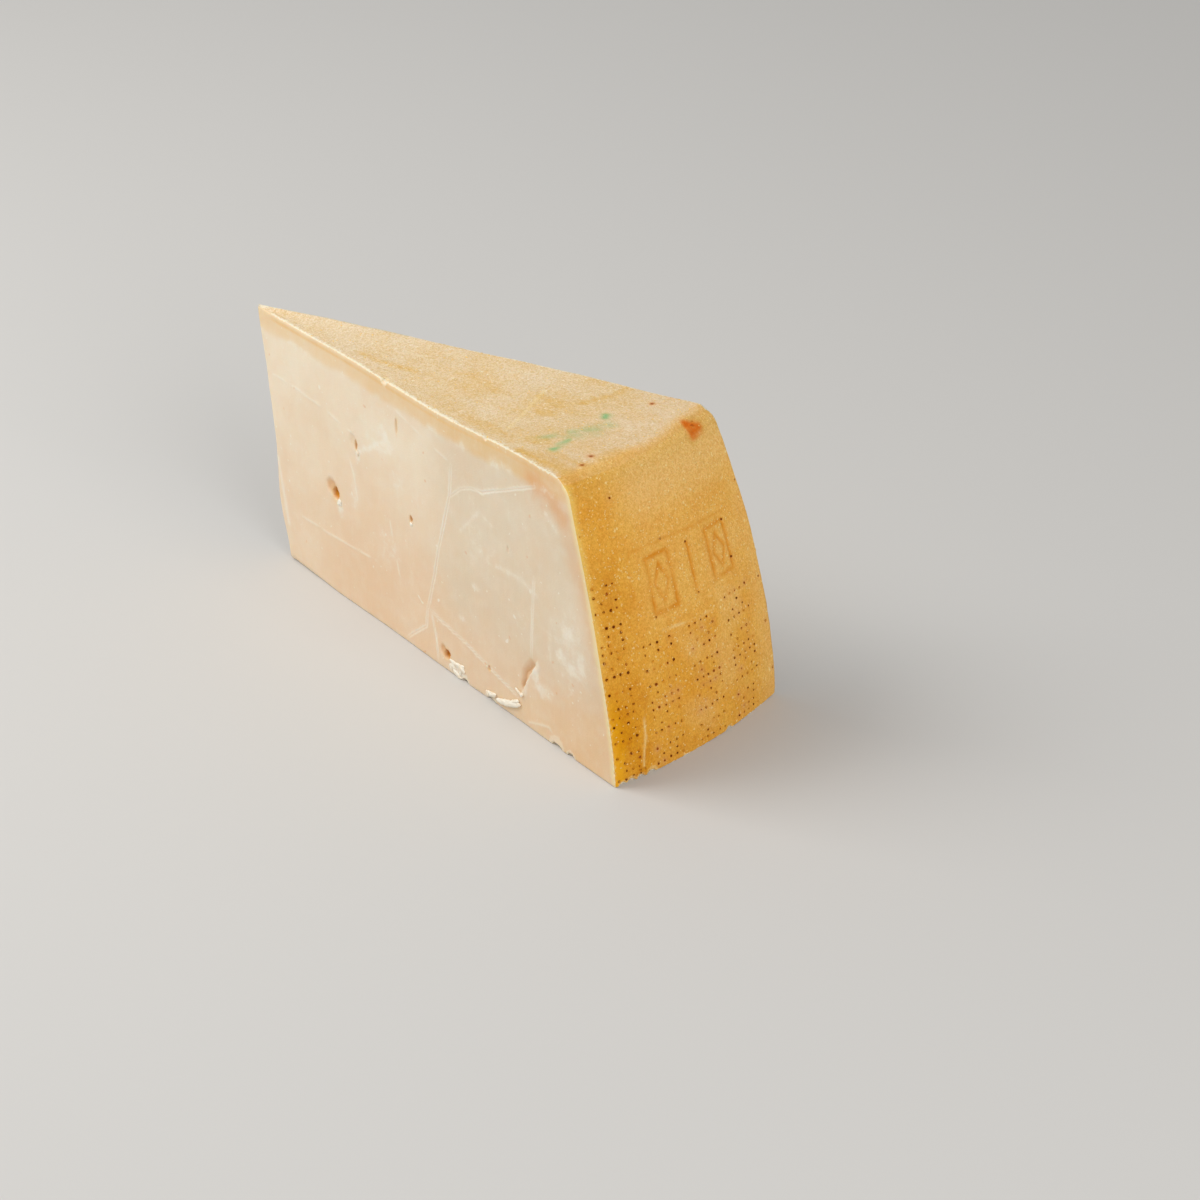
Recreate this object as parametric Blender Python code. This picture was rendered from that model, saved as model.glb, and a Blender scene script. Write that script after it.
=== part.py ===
"""Wedge of hard grating cheese, standing on its lower cut face.

It is a narrow sector of a wheel, cut through at half its height. The sharp tip is where the wheel's axis was,
the bulged end and the top are rind, and the two long sides and the base are cut faces. Sizes are in metres,
with +X from the tip to the rind and +Z up. Places are given about the axis: radius, bearing and height.
"""

import math
import random

import bmesh
import bpy
from mathutils import Matrix, Vector, noise

# Driving dimensions
SECTOR_ANGLE = math.radians(22.57)
BASE_RADIUS = 0.2268
RIM_HEIGHT = 0.110
SIDE_DROP = 0.0285
SIDE_POWER_NEAR = 1.35
SIDE_POWER_FAR = 1.80
TOP_DISH = 0.0006
RIM_ROUND = 0.0055
CUT_EDGE_ROUND = 0.0009
BASE_EDGE_ROUND = 0.0007
TIP_CRUMBLE = 0.0030
TIP_CRUMBLE_REACH = 0.050
TIP_NOSE = 0.5
# An edge's rounding takes at most this share of the wedge's half width
EDGE_SHARE = 0.6

# Height of the top along each cut, as pairs of radius and height
TOP_NEAR = ((0.000, 0.1026), (0.062, 0.1052), (0.122, 0.1058), (0.166, 0.1098), (0.200, 0.1102))
TOP_FAR = ((0.000, 0.1032), (0.026, 0.1056), (0.087, 0.1079), (0.131, 0.1097), (0.200, 0.1113))

# Front edge of the tip, as pairs of height and radius
TIP_EDGE = (
    (0.000, 0.0180),
    (0.007, 0.0165),
    (0.016, 0.0138),
    (0.023, 0.0112),
    (0.050, 0.0104),
    (0.084, 0.0046),
    (0.104, 0.0008),
)

# The tables' corners are rounded over this share of their length, in this many steps each way
TABLE_SOFTENING = 0.05
SOFTENING_STEPS = 3

# Unevenness: length of the waves, and how far they stand out
CUT_WAVE = 0.034
CUT_RELIEF = 0.00045
RIND_WAVE = 0.021
RIND_RELIEF = 0.00035

# Faces along the wedge, across it and up it
FACES_ALONG = 38
FACES_ACROSS = 12
FACES_UP = 21
EDGE_LINE = 0.0012
# Corners closer than this are one corner
SLIVER = 0.00002

# Holes in the near cut: radius, height, half width, half height, depth
NEAR_EYES = {
    "main_eye": (0.0506, 0.0437, 0.0020, 0.0026, 0.0032),
    "main_eye_hollow": (0.0484, 0.0462, 0.0048, 0.0042, 0.0010),
    "slit_eye": (0.0655, 0.0704, 0.0011, 0.0030, 0.0014),
    "slit_eye_hollow": (0.0645, 0.0722, 0.0026, 0.0036, 0.0006),
    "small_eye": (0.1016, 0.0548, 0.0010, 0.0016, 0.0014),
    "slim_eye": (0.0933, 0.0895, 0.0009, 0.0038, 0.0006),
    "foot_eye": (0.1233, 0.0070, 0.0024, 0.0021, 0.0024),
    "pit_low": (0.1502, 0.0134, 0.0010, 0.0012, 0.0010),
    "pit_high": (0.1631, 0.0690, 0.0008, 0.0018, 0.0008),
}

# Cracks in the near cut: width, depth, and the radius and height of the points they pass through
NEAR_CRACKS = {
    "crack_main": (0.0010, 0.0008, ((0.129, 0.089), (0.127, 0.076), (0.119, 0.048), (0.114, 0.024))),
    "crack_foot": (0.0009, 0.0007, ((0.1135, 0.0215), (0.110, 0.012), (0.099, 0.004))),
    "crack_rising": (0.0008, 0.0007, ((0.1304, 0.0790), (0.138, 0.083), (0.149, 0.086), (0.181, 0.102))),
    "crack_low": (0.0009, 0.0008, ((0.1160, 0.0215), (0.134, 0.021), (0.168, 0.011))),
    "crack_rear": (0.0008, 0.0006, ((0.181, 0.064), (0.177, 0.043), (0.175, 0.032))),
    "tear": (0.0022, 0.0020, ((0.1795, 0.0290), (0.1775, 0.0225), (0.1735, 0.0165), (0.1700, 0.0135))),
}

# Chips out of the near cut's edges: radius and half length
NEAR_FOOT_CHIPS = ((0.1350, 0.0022), (0.1508, 0.0028), (0.1920, 0.0036), (0.2005, 0.0022))
NEAR_TOP_CHIPS = ((0.0860, 0.0030), (0.1500, 0.0018))
# Chips along the foot of the rind: bearing in degrees and half length
RIND_FOOT_CHIPS = ((-10.4, 0.0017), (-9.4, 0.0020), (-8.3, 0.0017), (-7.0, 0.0022), (3.4, 0.0016))

# Ornament pressed into the rind: plain frames with a lozenge in each, and an upright bar between them.
# Each has its bearing in degrees, height, half width in degrees and half height
GROOVE_WIDTH = 0.0013
GROOVE_DEPTH = 0.0007
FRAMES = ((-2.55, 0.0663, 1.45, 0.0100), (5.78, 0.0668, 1.40, 0.0090))
LOZENGES = ((-2.55, 0.0663, 0.85, 0.0066), (5.78, 0.0668, 0.80, 0.0058))
BARS = ((1.60, 0.0664, 0.0, 0.0085),)
SQUARE_CORNERS = ((-1, -1), (1, -1), (1, 1), (-1, 1))
LOZENGE_CORNERS = ((0, -1), (1, 0), (0, 1), (-1, 0))

# The far cut has holes and cracks of the same kind, at places drawn from a seed
FAR_SEED = 11
FAR_EYES = 7
FAR_CRACKS = 2
FAR_CRACK_STEPS = 4

HALF_ANGLE = SECTOR_ANGLE / 2
NEAR = -1
FAR = 1


def clear_scene():
    for item in list(bpy.data.objects):
        bpy.data.objects.remove(item, do_unlink=True)


def material(name, colour, roughness):
    made = bpy.data.materials.new(name)
    made.use_nodes = True
    made.diffuse_color = (*colour, 1.0)
    shader = made.node_tree.nodes["Principled BSDF"]
    shader.inputs["Base Color"].default_value = (*colour, 1.0)
    shader.inputs["Roughness"].default_value = roughness
    shader.inputs["Metallic"].default_value = 0.0
    return made


def blend(low, high, share):
    return low + (high - low) * share


def read_runs(table, at):
    """Value of a table of pairs, in straight runs between them."""
    for (start, low), (end, high) in zip(table, table[1:]):
        if at <= end:
            return blend(low, high, max(0.0, at - start) / (end - start))
    return table[-1][1]


def read_table(table, at):
    """Value of a table of pairs, with the corners between its runs rounded."""
    reach = TABLE_SOFTENING * (table[-1][0] - table[0][0])
    spread = [at + reach * step / SOFTENING_STEPS for step in range(-SOFTENING_STEPS, SOFTENING_STEPS + 1)]
    return sum(read_runs(table, place) for place in spread) / len(spread)


def share_across(bearing):
    """0 on the near cut and 1 on the far cut."""
    return 0.5 + 0.5 * bearing / HALF_ANGLE


def top_height(radius, bearing):
    share = share_across(bearing)
    level = blend(read_table(TOP_NEAR, radius), read_table(TOP_FAR, radius), share)
    return level - TOP_DISH * 4 * share * (1 - share)


def side_radius(bearing, height):
    """Radius of the bulged rind."""
    power = blend(SIDE_POWER_NEAR, SIDE_POWER_FAR, share_across(bearing))
    return BASE_RADIUS - SIDE_DROP * max(0.0, height / RIM_HEIGHT) ** power


def cut_relief(radius, height, side):
    """How far a cut face stands out of its plane."""
    spot = Vector((radius, 0.0, height)) / CUT_WAVE
    return CUT_RELIEF * noise.noise(spot + Vector((0.0, 7.3 * side, 0.0)))


def rind_relief(radius, bearing, height):
    spot = Vector((radius * math.cos(bearing), radius * math.sin(bearing), height))
    return RIND_RELIEF * noise.noise(spot / RIND_WAVE)


def at(radius, bearing, height):
    return Vector((radius * math.cos(bearing), radius * math.sin(bearing), height))


def eased(first, second, size):
    """Two distances, each from one of two faces that meet, with the edge between the faces rounded."""
    if first >= size or second >= size:
        return first, second
    shrink = max(size - first, size - second) / math.hypot(size - first, size - second)
    return size - (size - first) * shrink, size - (size - second) * shrink


def under_skin(from_rind, from_top):
    """Depth under the rind with its rounded rim, and which way is straight in from there."""
    if from_rind < RIM_ROUND and from_top < RIM_ROUND:
        reach = math.hypot(RIM_ROUND - from_rind, RIM_ROUND - from_top)
        return RIM_ROUND - reach, (RIM_ROUND - from_rind) / reach, (RIM_ROUND - from_top) / reach
    if from_rind < from_top:
        return from_rind, 1.0, 0.0
    return from_top, 0.0, 1.0


def lines(count, length):
    """Places of the lattice's lines from 0 to length, with the outer ones close to the ends."""
    edge = min(EDGE_LINE, length * 0.2)
    inner = [blend(edge, length - edge, step / (count - 2)) for step in range(count - 1)]
    return [0.0, *inner, length]


def lattice_place(along, across, up):
    """Radius, bearing and height of one lattice corner, before its edges are rounded."""
    bearing = HALF_ANGLE * (2 * across / FACES_ACROSS - 1)
    height = RIM_HEIGHT * up / FACES_UP
    for _ in range(2):
        front = read_table(TIP_EDGE, height)
        radius = front + lines(FACES_ALONG, side_radius(bearing, height) - front)[along]
        height = lines(FACES_UP, top_height(radius, bearing))[up]
    bearing = lines(FACES_ACROSS, 2 * HALF_ANGLE * radius)[across] / radius - HALF_ANGLE
    return radius, bearing, height


def wedge_point(along, across, up):
    """Place of one corner of the wedge's surface."""
    radius, bearing, height = lattice_place(along, across, up)
    side = NEAR if bearing < 0 else FAR
    from_rind = side_radius(bearing, height) - radius
    from_top = top_height(radius, bearing) - height
    from_cut = radius * (HALF_ANGLE - abs(bearing))
    half_width = radius * HALF_ANGLE
    cut_edge = min(CUT_EDGE_ROUND, EDGE_SHARE * half_width)
    crumble = TIP_CRUMBLE * max(0.0, 1 - radius / TIP_CRUMBLE_REACH)
    foot_edge = min(BASE_EDGE_ROUND + crumble, EDGE_SHARE * half_width)

    out, down = eased(from_rind, from_top, RIM_ROUND)
    depth, turned_out, turned_down = under_skin(out, down)
    inward, new_depth = eased(from_cut, depth, cut_edge)
    out += turned_out * (new_depth - depth)
    down += turned_down * (new_depth - depth)
    inward, lift = eased(inward, height, foot_edge)
    out, lift = eased(out, lift, BASE_EDGE_ROUND)

    new_height = height + (lift - height) - (down - from_top)
    new_radius = radius + from_rind - out
    if along == 0:
        new_radius -= TIP_NOSE * half_width * (1 - (bearing / HALF_ANGLE) ** 2)
    if along == FACES_ALONG and up > 0:
        new_radius += rind_relief(radius, bearing, height)
    if up == FACES_UP:
        new_height += rind_relief(radius, bearing, height)
    if across in (0, FACES_ACROSS):
        inward -= cut_relief(radius, height, side) * min(1.0, radius / TIP_CRUMBLE_REACH)
    if across * 2 == FACES_ACROSS:
        return at(new_radius, bearing, new_height)
    return at(new_radius, side * (HALF_ANGLE - inward / radius), new_height)


def wedge_mesh():
    """The whole wedge as a closed box lattice, bent to shape."""
    counts = (FACES_ALONG, FACES_ACROSS, FACES_UP)
    bm = bmesh.new()
    corners = {}

    def corner(spot):
        if spot not in corners:
            corners[spot] = bm.verts.new(wedge_point(*spot))
        return corners[spot]

    for axis in range(3):
        first, second = (axis + 1) % 3, (axis + 2) % 3
        for level in (0, counts[axis]):
            for i in range(counts[first]):
                for j in range(counts[second]):
                    spots = []
                    for di, dj in ((0, 0), (1, 0), (1, 1), (0, 1)):
                        spot = [0, 0, 0]
                        spot[axis], spot[first], spot[second] = level, i + di, j + dj
                        spots.append(tuple(spot))
                    face = bm.faces.new([corner(spot) for spot in spots])
                    is_rind = level > 0 and axis in (0, 2)
                    face.material_index = 1 if is_rind else 0
    bmesh.ops.recalc_face_normals(bm, faces=bm.faces)
    bmesh.ops.triangulate(bm, faces=bm.faces)
    return bm


def cut_frame(radius, height, side):
    """Matrix on a cut face: X along the cut away from the axis, Y into the cheese, Z up."""
    bearing = side * (HALF_ANGLE + cut_relief(radius, height, side) / radius)
    turn = Matrix.Rotation(bearing, 4, "Z")
    face_in = Matrix.Diagonal((1.0, -side, 1.0, 1.0))
    return Matrix.Translation(at(radius, bearing, height)) @ turn @ face_in


def rind_frame(bearing, height):
    """Matrix on the bulged rind: X to the far side, Y into the cheese, Z up."""
    place = at(side_radius(bearing, height), bearing, height)
    return Matrix.Translation(place) @ Matrix.Rotation(bearing + math.pi / 2, 4, "Z")


def add_object(name, bm, parent, collection, slots):
    mesh = bpy.data.meshes.new(name)
    bm.to_mesh(mesh)
    bm.free()
    for slot in slots:
        mesh.materials.append(slot)
    made = bpy.data.objects.new(name, mesh)
    made.parent = parent
    collection.objects.link(made)
    return made


class Cutters:
    """Tools that are taken out of the wedge, kept in one collection."""

    def __init__(self, parent, paste):
        self.parent = parent
        self.paste = paste
        self.collection = bpy.data.collections.new("cutters")
        bpy.context.scene.collection.children.link(self.collection)

    def add(self, name, bm):
        bmesh.ops.recalc_face_normals(bm, faces=bm.faces)
        tool = add_object(f"cut_{name}", bm, self.parent, self.collection, [self.paste])
        tool.hide_render = True
        tool.display_type = "WIRE"

    def hollow(self, name, frame, half_sizes):
        """A rounded hollow, with its middle on the surface."""
        bm = bmesh.new()
        scaled = frame @ Matrix.Diagonal((*half_sizes, 1.0))
        bmesh.ops.create_uvsphere(bm, u_segments=12, v_segments=8, radius=1.0, matrix=scaled)
        self.add(name, bm)

    def groove(self, name, frames, width, depth, closed=False):
        """A groove with a V section through a row of places on the surface."""
        bm = bmesh.new()
        places = [frame.translation for frame in frames]
        count = len(frames)
        rings = []
        for index, frame in enumerate(frames):
            before = places[index - 1] if closed or index else places[0]
            after = places[(index + 1) % count] if closed or index < count - 1 else places[-1]
            inward = frame.col[1].to_3d().normalized()
            sideways = inward.cross(after - before).normalized()
            taper = 1.0 if closed or 0 < index < count - 1 else 0.35
            half = sideways * width * 0.5 * taper
            corners = (half, -inward * depth, -half, inward * depth * taper)
            rings.append([bm.verts.new(frame.translation + corner) for corner in corners])
        pairs = list(zip(rings, rings[1:] + rings[:1])) if closed else list(zip(rings, rings[1:]))
        for ring, following in pairs:
            for side in range(4):
                turn = (side + 1) % 4
                bm.faces.new((ring[side], ring[turn], following[turn], following[side]))
        if not closed:
            bm.faces.new(rings[0])
            bm.faces.new(rings[-1])
        self.add(name, bm)


def cut_near_face(cutters):
    for name, (radius, height, half_width, half_height, depth) in NEAR_EYES.items():
        cutters.hollow(name, cut_frame(radius, height, NEAR), (half_width, depth, half_height))
    for name, (width, depth, points) in NEAR_CRACKS.items():
        frames = [cut_frame(radius, height, NEAR) for radius, height in points]
        cutters.groove(name, frames, width, depth)
    for number, (radius, half) in enumerate(NEAR_FOOT_CHIPS, 1):
        cutters.hollow(f"foot_chip_{number}", cut_frame(radius, 0.0, NEAR), (half, 0.0016, 0.0020))
    for number, (radius, half) in enumerate(NEAR_TOP_CHIPS, 1):
        top = top_height(radius, -HALF_ANGLE)
        cutters.hollow(f"top_chip_{number}", cut_frame(radius, top, NEAR), (half, 0.0014, 0.0013))


def cut_rind(cutters):
    for number, (degrees, half) in enumerate(RIND_FOOT_CHIPS, 1):
        frame = rind_frame(math.radians(degrees), 0.0)
        cutters.hollow(f"rind_chip_{number}", frame, (half, 0.0016, 0.0019))
    for name, corners, places in (("frame", SQUARE_CORNERS, FRAMES), ("lozenge", LOZENGE_CORNERS, LOZENGES)):
        for number, (degrees, height, half_turn, half_height) in enumerate(places, 1):
            frames = [
                rind_frame(math.radians(degrees + x * half_turn), height + z * half_height)
                for x, z in corners
            ]
            cutters.groove(f"{name}_{number}", frames, GROOVE_WIDTH, GROOVE_DEPTH, closed=True)
    for number, (degrees, height, half_turn, half_height) in enumerate(BARS, 1):
        frames = [
            rind_frame(math.radians(degrees + z * half_turn), height + z * half_height)
            for z in (-1, 0, 1)
        ]
        cutters.groove(f"bar_{number}", frames, GROOVE_WIDTH, GROOVE_DEPTH)


def cut_far_face(cutters):
    draw = random.Random(FAR_SEED)
    for number in range(1, FAR_EYES + 1):
        radius = 0.045 + 0.022 * number
        height = draw.uniform(0.012, 0.092)
        half = draw.uniform(0.0009, 0.0021)
        frame = cut_frame(radius, height, FAR)
        cutters.hollow(f"far_eye_{number}", frame, (half, 1.2 * half, draw.uniform(1.0, 1.8) * half))
    for number in range(1, FAR_CRACKS + 1):
        radius = 0.055 + 0.055 * number
        height = 0.092
        frames = []
        for _ in range(FAR_CRACK_STEPS):
            frames.append(cut_frame(radius, height, FAR))
            radius += draw.uniform(-0.006, 0.009)
            height -= draw.uniform(0.014, 0.022)
        cutters.groove(f"far_crack_{number}", frames, 0.0009, 0.0008)


def bounds_of(bm):
    low = Vector([min(vert.co[axis] for vert in bm.verts) for axis in range(3)])
    high = Vector([max(vert.co[axis] for vert in bm.verts) for axis in range(3)])
    return low, high


def main():
    clear_scene()
    paste = material("cheese_paste", (0.78, 0.62, 0.42), 0.55)
    rind = material("cheese_rind", (0.69, 0.40, 0.11), 0.60)
    bm = wedge_mesh()
    low, high = bounds_of(bm)
    scene = bpy.context.scene.collection

    # The axis stands where it centres the wedge over the origin
    axis = bpy.data.objects.new("wheel_axis", None)
    axis.location = (-(low.x + high.x) / 2, -(low.y + high.y) / 2, -low.z)
    scene.objects.link(axis)

    wedge = add_object("cheese_wedge", bm, axis, scene, [paste, rind])
    cutters = Cutters(axis, paste)
    cut_near_face(cutters)
    cut_rind(cutters)
    cut_far_face(cutters)
    cut = wedge.modifiers.new("cuts", "BOOLEAN")
    cut.operation = "DIFFERENCE"
    cut.solver = "EXACT"
    cut.operand_type = "COLLECTION"
    cut.collection = cutters.collection
    weld = wedge.modifiers.new("slivers", "WELD")
    weld.merge_threshold = SLIVER
    split = wedge.modifiers.new("triangles", "TRIANGULATE")
    split.ngon_method = "BEAUTY"


main()
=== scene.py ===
"""Looks of a wedge of hard grating cheese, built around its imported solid.

The wedge is a narrow sector of a wheel, cut through at half its height, and it stands on that lower cut.
Places on it are given about the wheel's axis, which the sharp tip points to: radius, bearing and height.
On a cut they are pairs of radius and height, on the bulged side pairs of bearing in degrees and height,
and on the top pairs of x and y. Sizes are in metres.
"""

import math
import random

import bmesh
import bpy
import numpy as np
from bpy.props import FloatProperty, FloatVectorProperty, IntProperty, PointerProperty
from mathutils import Matrix, Vector, noise


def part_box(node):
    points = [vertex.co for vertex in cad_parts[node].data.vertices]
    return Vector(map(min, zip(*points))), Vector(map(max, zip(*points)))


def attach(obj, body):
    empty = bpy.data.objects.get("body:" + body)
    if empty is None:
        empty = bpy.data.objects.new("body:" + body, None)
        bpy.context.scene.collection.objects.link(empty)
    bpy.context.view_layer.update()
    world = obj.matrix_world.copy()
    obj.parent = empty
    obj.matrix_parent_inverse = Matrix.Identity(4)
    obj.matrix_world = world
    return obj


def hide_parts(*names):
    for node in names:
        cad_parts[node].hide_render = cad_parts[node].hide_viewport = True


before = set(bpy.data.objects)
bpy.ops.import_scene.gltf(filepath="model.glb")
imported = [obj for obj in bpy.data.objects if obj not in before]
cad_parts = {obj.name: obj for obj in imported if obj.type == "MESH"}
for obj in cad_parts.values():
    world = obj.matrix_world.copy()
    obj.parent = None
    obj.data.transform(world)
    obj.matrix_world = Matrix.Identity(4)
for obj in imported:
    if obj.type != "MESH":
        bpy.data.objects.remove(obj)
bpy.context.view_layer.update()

bl_info = {
    "name": "Hard Cheese Wedge",
    "version": (1, 0, 0),
    "blender": (4, 5, 0),
    "location": "View3D > Sidebar > Cheese",
    "description": "Makes a wedge of hard cheese with its rind, cut faces, cracks and pricked ornament",
    "category": "Object",
}

NODE = "cheese_wedge"

# Form of the wedge, the same as its solid's
SECTOR_ANGLE = math.radians(22.57)
HALF_ANGLE = SECTOR_ANGLE / 2
BASE_RADIUS = 0.2268
RIM_HEIGHT = 0.110
SIDE_DROP = 0.0285
SIDE_POWER_NEAR = 1.35
SIDE_POWER_FAR = 1.80
TOP_DISH = 0.0006
RIM_ROUND = 0.0055
CUT_EDGE_ROUND = 0.0009
BASE_EDGE_ROUND = 0.0007
TIP_CRUMBLE = 0.0030
TIP_CRUMBLE_REACH = 0.050
TIP_NOSE = 0.5
EDGE_SHARE = 0.6
# Height of the top along the near and the far cut, by radius
TOP_NEAR = ((0.000, 0.1026), (0.062, 0.1052), (0.122, 0.1058), (0.166, 0.1098), (0.200, 0.1102))
TOP_FAR = ((0.000, 0.1032), (0.026, 0.1056), (0.087, 0.1079), (0.131, 0.1097), (0.200, 0.1113))
# Radius of the uneven tip, by height
TIP_EDGE = (
    (0.000, 0.0180),
    (0.007, 0.0165),
    (0.016, 0.0138),
    (0.023, 0.0112),
    (0.050, 0.0104),
    (0.084, 0.0046),
    (0.104, 0.0008),
)
# Share of a table's length over which its corners are rounded
TABLE_SOFTENING = 0.05
SOFTENING_STEPS = 3
# Waves in the faces: their length and their height
CUT_WAVE = 0.034
CUT_RELIEF = 0.00045
RIND_WAVE = 0.021
RIND_RELIEF = 0.00035
# Signs of the bearings of the two cuts
NEAR = -1
FAR = 1

# Faces of the coarse lattice along the wedge, across it and up it, and how often they may be halved
FACES_ALONG = 108
FACES_ACROSS = 36
FACES_UP = 52
EDGE_LINE = 0.0012
HALVINGS = 3
TIP, RIND, CUT_NEAR, CUT_FAR, BASE, TOP = range(6)

# Longest edges of the faces of each side, and of the faces that carry its marks
FACE_SIZES = {TIP: 0.0030, RIND: 0.0014, CUT_NEAR: 0.0014, CUT_FAR: 0.0030, BASE: 0.0200, TOP: 0.0030}
OUTER_TOP_FACES = 0.0014
EYE_FACES = 0.00050
SMALL_EYE = 0.0015
SMALL_EYE_FACES = 0.00035
CRACK_FACES = 0.00045
LINE_FACES = 0.0007
TEAR_FACES = 0.0006
EDGE_FACES = 0.0006
FAR_EDGE_FACES = 0.0016
GROOVE_FACES = 0.0004
PRICK_FACES = 0.00055
SPOT_FACES = 0.00045
CHIP_FACES = 0.00055
FACE_SLACK = 1.25

# Holes in the near cut: radius, height, half width, half height, depth, and how brown they are.
# In the shallow hollows beside the holes that brown is painted shade
NEAR_EYES = {
    "main_eye": (0.0513, 0.0436, 0.0024, 0.0027, 0.0019, 1.00),
    "main_eye_hollow": (0.0484, 0.0458, 0.0044, 0.0038, 0.0007, 0.50),
    "slit_eye": (0.0659, 0.0702, 0.0009, 0.0023, 0.0010, 0.50),
    "slit_eye_hollow": (0.0640, 0.0718, 0.0026, 0.0036, 0.0004, 0.16),
    "small_eye": (0.1018, 0.0546, 0.0010, 0.0014, 0.0010, 0.60),
    "slim_eye": (0.0933, 0.0895, 0.0008, 0.0032, 0.0004, 0.14),
    "foot_eye": (0.1236, 0.0068, 0.0020, 0.0021, 0.0022, 1.00),
    "foot_eye_hollow": (0.1212, 0.0080, 0.0026, 0.0028, 0.0006, 0.46),
    "pit_low": (0.1502, 0.0134, 0.0010, 0.0012, 0.0006, 0.35),
    "pit_high": (0.1631, 0.0690, 0.0008, 0.0018, 0.0003, 0.10),
}

# Cracks in the near cut: width, depth, and the places they pass through
NEAR_CRACKS = {
    "crack_main": (0.0008, 0.00035, ((0.1283, 0.0881), (0.1267, 0.0752), (0.1180, 0.0443), (0.1114, 0.0205))),
    "crack_foot": (0.0007, 0.00030, ((0.1114, 0.0205), (0.1105, 0.0128), (0.0976, 0.0021))),
    "crack_rising": (
        0.0007,
        0.00030,
        (
            (0.1266, 0.0743),
            (0.1344, 0.0811),
            (0.1413, 0.0843),
            (0.1482, 0.0856),
            (0.1593, 0.0910),
            (0.1793, 0.1010),
        ),
    ),
    "crack_low": (0.0007, 0.00030, ((0.1135, 0.0208), (0.1345, 0.0175), (0.1490, 0.0141), (0.1676, 0.0099))),
    "crack_rear": (0.0007, 0.00020, ((0.1788, 0.0641), (0.1777, 0.0470), (0.1766, 0.0305))),
    "crack_branch": (0.0006, 0.00020, ((0.1140, 0.0200), (0.1165, 0.0115), (0.1179, 0.0029))),
}

# A fold that is torn open: the width of its sunken slope, painted brown as shade, its depth, the width
# of its steep wall, the lip behind it, and its path from the wide end down
TEAR_WIDTH = 0.0040
TEAR_DEPTH = 0.0010
TEAR_WALL = 0.0006
TEAR_LIP = 0.0016
TEAR_LIP_WIDTH = 0.0011
TEAR_LIP_HEIGHT = 0.00020
TEAR_PATH = ((0.1790, 0.0285), (0.1730, 0.0222), (0.1710, 0.0145))

# Fine raised lines that the knife left in the near cut
NEAR_LINES = (
    ((0.010, 0.0775), (0.029, 0.0780), (0.049, 0.0765), (0.065, 0.0740)),
    ((0.027, 0.0230), (0.052, 0.0245), (0.077, 0.0260)),
    ((0.0925, 0.0960), (0.1180, 0.0905), (0.1290, 0.0890)),
    ((0.1749, 0.0024), (0.1873, 0.0063), (0.1945, 0.0018)),
    ((0.0600, 0.0655), (0.0640, 0.0560), (0.0660, 0.0470)),
    ((0.0880, 0.0470), (0.0900, 0.0380), (0.0930, 0.0270)),
)
LINE_HEIGHT = 0.00010
LINE_WIDTH = 0.00045

# Chips out of the edges: on the near cut, radius and half length; on the rind, bearing in degrees
NEAR_FOOT_CHIPS = ((0.1350, 0.0022), (0.1508, 0.0028), (0.1920, 0.0036), (0.2005, 0.0022))
NEAR_TOP_CHIPS = ((0.0860, 0.0018), (0.1500, 0.0010))
RIND_FOOT_CHIPS = ((-10.4, 0.0017), (-9.4, 0.0020), (-8.3, 0.0017), (-7.0, 0.0022), (3.4, 0.0016))
CHIP_DEPTH = 0.0015
# Pricks cut through by the knife leave scallops up the near corner of the rind
SCALLOPS_FROM = 0.0030
SCALLOPS_TO = 0.0400
SCALLOP_SPACING = 0.0026
SCALLOP_SIZE = 0.0007

# The far cut's holes, cracks and pale scuffs, at places and sizes drawn from a seed
FAR_SEED = 11
FAR_EYES = 7
FAR_EYE_START = 0.045
FAR_EYE_STEP = 0.022
FAR_EYE_HEIGHTS = (0.012, 0.092)
FAR_EYE_HALVES = (0.0009, 0.0021)
FAR_CRACKS = 2
FAR_CRACK_STEP = 0.055
FAR_CRACK_TOP = 0.092
FAR_CRACK_RUNS = 4
FAR_CRACK_RUN = (-0.006, 0.009)
FAR_CRACK_DROP = (0.014, 0.022)
FAR_CRACK_WIDTH = 0.0008
FAR_CRACK_DEPTH = 0.00035
FAR_SCUFFS = 16
FAR_SCUFF_RADII = (0.045, 0.205)
FAR_SCUFF_HEIGHTS = (0.015, 0.085)
FAR_SCUFF_LENGTHS = (0.003, 0.010)
FAR_SCUFF_WIDTHS = (0.002, 0.009)

# Ornament pressed into the rind: plain frames with a lozenge in each, and an upright bar between them.
# Each has its bearing in degrees, height, half width in degrees and half height
GROOVE_WIDTH = 0.0012
GROOVE_DEPTH = 0.00035
FRAMES = ((-2.55, 0.0663, 1.45, 0.0100), (5.78, 0.0668, 1.40, 0.0090))
LOZENGES = ((-2.55, 0.0663, 0.85, 0.0066), (5.78, 0.0668, 0.80, 0.0058))
BARS = ((1.60, 0.0664, 0.0, 0.0085),)
# A faint arc over the ornament, a slanted seam under it and an upright seam near the foot
ARC_LINE = ((-6.26, 0.0643), (-6.20, 0.0780), (-5.60, 0.0806), (0.00, 0.0800), (8.20, 0.0784))
ARC_WIDTH = 0.0007
ARC_DEPTH = 0.00020
SEAM_HEIGHT = 0.00025
SEAM_LINES = (
    ((-3.6, 0.0499), (0.0, 0.0488), (3.2, 0.0482)),
    ((-7.3, 0.0249), (-7.5, 0.0160), (-7.9, 0.0044)),
)

# Bands of pricks that repeat a plain dotted motif: bearing of the first, pricks across, the heights
# where the band starts and ends, their size, and how many of them have faded
PRICK_BANDS = (
    (-10.75, 4, 0.0730, 0.0030, 1.05, 0.08),
    (-6.15, 5, 0.0470, 0.0030, 0.92, 0.30),
    (-0.40, 5, 0.0470, 0.0040, 0.86, 0.40),
    (5.00, 5, 0.0500, 0.0040, 0.84, 0.40),
)
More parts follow.
